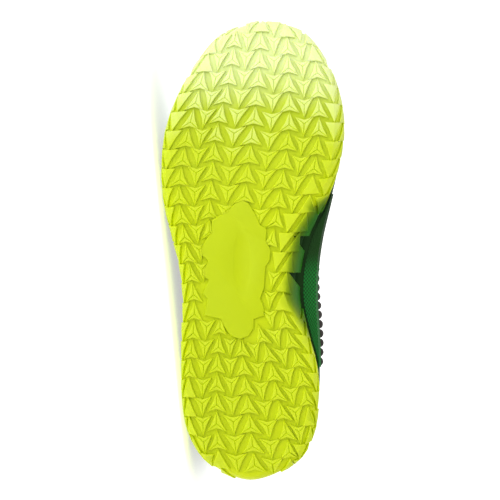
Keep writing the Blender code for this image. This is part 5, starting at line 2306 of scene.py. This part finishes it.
@dataclass
class Laces:
    """A flat lace in crossings between the eyelets."""

    upper: Upper
    width: float = 6 * MM
    thickness: float = 1.3 * MM
    clearance: float = 1.3 * MM

    def build(self) -> None:
        """Make every crossing, each run diving into its two eyelets."""
        runs = []
        for pair in range(self.upper.eyelet_pairs - 1):
            for side in (1, -1):
                runs.append(self.run(pair, side))
        lace = join("lace_runs", runs)
        dress(lace, Finish.LACE, ("laces",), 60)
        LOG.info("laces: %d crossings", len(runs))

    def run(self, pair: int, side: int) -> bpy.types.Object:
        """Make one crossing, from an eyelet to the next one across the throat.

        Args:
            pair: The pair of eyelets where it starts, counted from the collar.
            side: The side where it starts: 1 inner and -1 outer.

        Returns:
            The crossing.
        """
        lift = 0.7 * MM + 1.2 * MM + self.clearance + 0.5 * self.thickness
        top = np.array([0.0, 0.0, 1.0])
        over = 0.9 * self.thickness if side > 0 else 0.0

        def seat(row: int, hand: int, height: float) -> tuple[Point, Point]:
            """Return a point over an eyelet and the direction straight out of it."""
            station, level = self.upper.eyelet(row, hand)
            return FORM.off_upper(station, level, height), FORM.upper_normal(station, level)

        seated = self.upper.overlay_gap + self.upper.eyestay_thickness + 0.5 * self.thickness + 0.4 * MM

        def lip(row: int, hand: int) -> Point:
            """Return a point over the edge of the throat beside an eyelet."""
            station = self.upper.eyelet(row, hand)[0]
            return FORM.off_upper(station, FORM.level_from_edge(station, 0.5 * MM), lift)

        start, first = seat(pair, side, seated)
        end, last = seat(pair + 1, -side, seated)
        near = mix(lip(pair, side), lip(pair + 1, side), 0.2)
        far = mix(lip(pair + 1, -side), lip(pair, -side), 0.2)
        middle = 0.5 * (near + far) + top * (1.0 * MM + over)
        deep = [seat(pair, side, -4.0 * MM)[0], seat(pair + 1, -side, -4.0 * MM)[0]]
        route = [deep[0], start, near, middle, far, end, deep[1]]
        normals = [mix(first, near - start, 0.0), first, first + top, top, last + top, last, last]
        normals = [normal / np.linalg.norm(normal) for normal in normals]
        keys = np.cumsum([0.0] + [float(np.linalg.norm(b - a)) for a, b in zip(route, route[1:])])
        table = Table("key x y z nx ny nz", np.column_stack([keys, np.array(route), np.array(normals)]))

        def place(along: float, across: float) -> Point:
            """Return a point of the lace's middle sheet.

            Args:
                along: The share of the crossing's length.
                across: The share of the lace's width.

            Returns:
                The point in the shoe's own frame.
            """
            key = along * keys[-1]
            row = table.row(key)
            before = table.row(max(0.0, key - 0.3 * MM))[1:4]
            wide = np.cross(row[4:7], table.row(min(keys[-1], key + 0.3 * MM))[1:4] - before)
            wide /= np.linalg.norm(wide)
            narrow = mix(0.55, 1.0, smooth_step(min(key, keys[-1] - key) / (6 * MM)))
            return row[1:4] + wide * (across - 0.5) * self.width * narrow

        piece = lay_sheet(f"lace_{pair}_{side}", 40, 4, place, (float(keys[-1]), self.width))
        apply_step(piece, "SOLIDIFY", thickness=self.thickness, offset=0.0)
        round_edges(piece, 0.35 * MM)
        return piece


@dataclass
class Insole:
    """The loose footbed."""

    upper: Upper
    thickness: float = 4 * MM

    def build(self) -> None:
        """Make the footbed."""
        edge = FORM.feather_inset + self.upper.wall + 2 * FORM.gap
        soft = 0.25 * self.thickness

        def ring(inset: float, lift: float, share: float) -> Ring:
            """Return a ring of the footbed.

            Args:
                inset: How far inside the rim it lies.
                lift: Its height over the bed.
                share: How far it lies on towards the middle line.

            Returns:
                The ring's point for each station.
            """

            def place(station: float) -> Point:
                """Return the ring's point.

                Args:
                    station: The place round the shoe.

                Returns:
                    The point in the shoe's own frame.
                """
                near = FORM.rim.inset(station, inset)
                far = FORM.rim.inset(-station, inset)
                x, y = mix(near, 0.5 * (near + far), share)
                return np.array([x, y, FORM.bed(x) + FORM.gap + lift])

            return place

        rings = [ring(edge, 0.0, share) for share in (1.0, 0.5, 0.0)]
        rings += [ring(edge, self.thickness - soft, 0.0)]
        rings += [ring(edge + 0.3 * soft, self.thickness - 0.3 * soft, 0.0)]
        rings += [ring(edge + soft, self.thickness, share) for share in (0.0, 0.33, 0.66, 1.0)]
        piece = lay_rings("footbed", 120, rings)
        dress(piece, Finish.INSOLE_CLOTH, ("insole",), 50)
        LOG.info("insole")


@dataclass
class Studio:
    """Floor, lights and the camera over the tread."""

    distance: float = 1.45
    frame_width: float = 0.322
    room_light: float = 0.56
    key_power: float = 2.25
    fill_power: float = 1.0
    scrim_strength: float = 1.1
    swing: float = math.radians(3.5)
    aim: tuple[float, float, float] = (150 * MM, 0.0, 5 * MM)

    def build(self) -> None:
        """Add floor, world, lights and camera."""
        self.floor()
        self.world()
        self.lights()
        self.camera()
        LOG.info("studio")

    def floor(self) -> None:
        """Add a wide pale floor."""
        deselect()
        bpy.ops.mesh.primitive_plane_add(size=12.0)
        floor = bpy.context.object
        floor.name = "studio_floor"
        for vertex in floor.data.vertices:
            vertex.co.z = -0.05 * MM
        floor.data.materials.append(material_of(Finish.FLOOR))

    def world(self) -> None:
        """Fill the room with soft light, seen as white behind the floor."""
        world = bpy.data.worlds.new("studio_world")
        bpy.context.scene.world = world
        world.use_nodes = True
        tree = world.node_tree
        background = tree.nodes["Background"]
        background.inputs["Color"].default_value = (1.0, 1.0, 1.0, 1.0)
        seen = add_node(tree, "ShaderNodeLightPath")
        level = add_node(
            tree,
            "ShaderNodeMapRange",
            {"To Min": self.room_light, "To Max": 1.0},
            {"Value": seen.outputs["Is Camera Ray"]},
        )
        tree.links.new(level.outputs["Result"], background.inputs["Strength"])
        scene = bpy.context.scene
        scene.view_settings.view_transform = "Standard"
        scene.view_settings.look = "None"
        scene.view_settings.exposure = 0.0

    def axes(self) -> tuple[Vector, Vector, Vector, Vector]:
        """Return the shoe's directions in the room.

        Returns:
            Its middle, the way to its toe, the way to its inner side and the way out of the tread.
        """
        turn = LYING.to_3x3()
        middle = LYING @ Vector(self.aim)
        return middle, turn @ Vector((1, 0, 0)), turn @ Vector((0, 1, 0)), turn @ Vector((0, 0, -1))

    def lights(self) -> None:
        """Add a broad key from the toe and the camera's side, a weak fill and an overhead scrim."""
        middle, toe, inner, out = self.axes()
        places = (
            ("key_light", middle + toe * 0.50 + out * 0.60, 0.7, self.key_power),
            ("fill_light", middle - toe * 0.5 + out * 0.9 - inner * 0.1, 0.8, self.fill_power),
        )
        for name, place, size, power in places:
            data = bpy.data.lights.new(name, "AREA")
            data.shape = "DISK"
            data.size = size
            data.energy = power
            light = bpy.data.objects.new(name, data)
            bpy.context.scene.collection.objects.link(light)
            light.location = place
            light.rotation_euler = (middle - place).to_track_quat("-Z", "Y").to_euler()
        data = bpy.data.lights.new("overhead_scrim", "SUN")
        data.energy = self.scrim_strength
        data.angle = math.radians(50)
        scrim = bpy.data.objects.new("overhead_scrim", data)
        bpy.context.scene.collection.objects.link(scrim)
        scrim.location = (0.0, 0.0, 2.0)

    def camera(self) -> None:
        """Add the camera: straight at the tread, toe up, a little from the inner side."""
        middle, toe, inner, out = self.axes()
        back = out * math.cos(self.swing) + inner * math.sin(self.swing)
        right = toe.cross(back)
        data = bpy.data.cameras.new("camera")
        data.sensor_width = 36.0
        data.lens = 36.0 * self.distance / self.frame_width
        camera = bpy.data.objects.new("camera", data)
        bpy.context.scene.collection.objects.link(camera)
        turn = Matrix((right, toe, back)).transposed().to_4x4()
        camera.matrix_world = Matrix.Translation(middle + back * self.distance) @ turn
        bpy.context.scene.camera = camera


def main() -> None:
    """Build the shoe and the studio in order."""
    logging.basicConfig(level=logging.INFO, format="%(name)s: %(message)s")
    upper = Upper()
    Outsole().build()
    Midsole().build()
    Insole(upper).build()
    upper.build()
    Tongue(upper).build()
    Laces(upper).build()
    Studio().build()
    deselect()


if __name__ == "__main__":
    main()
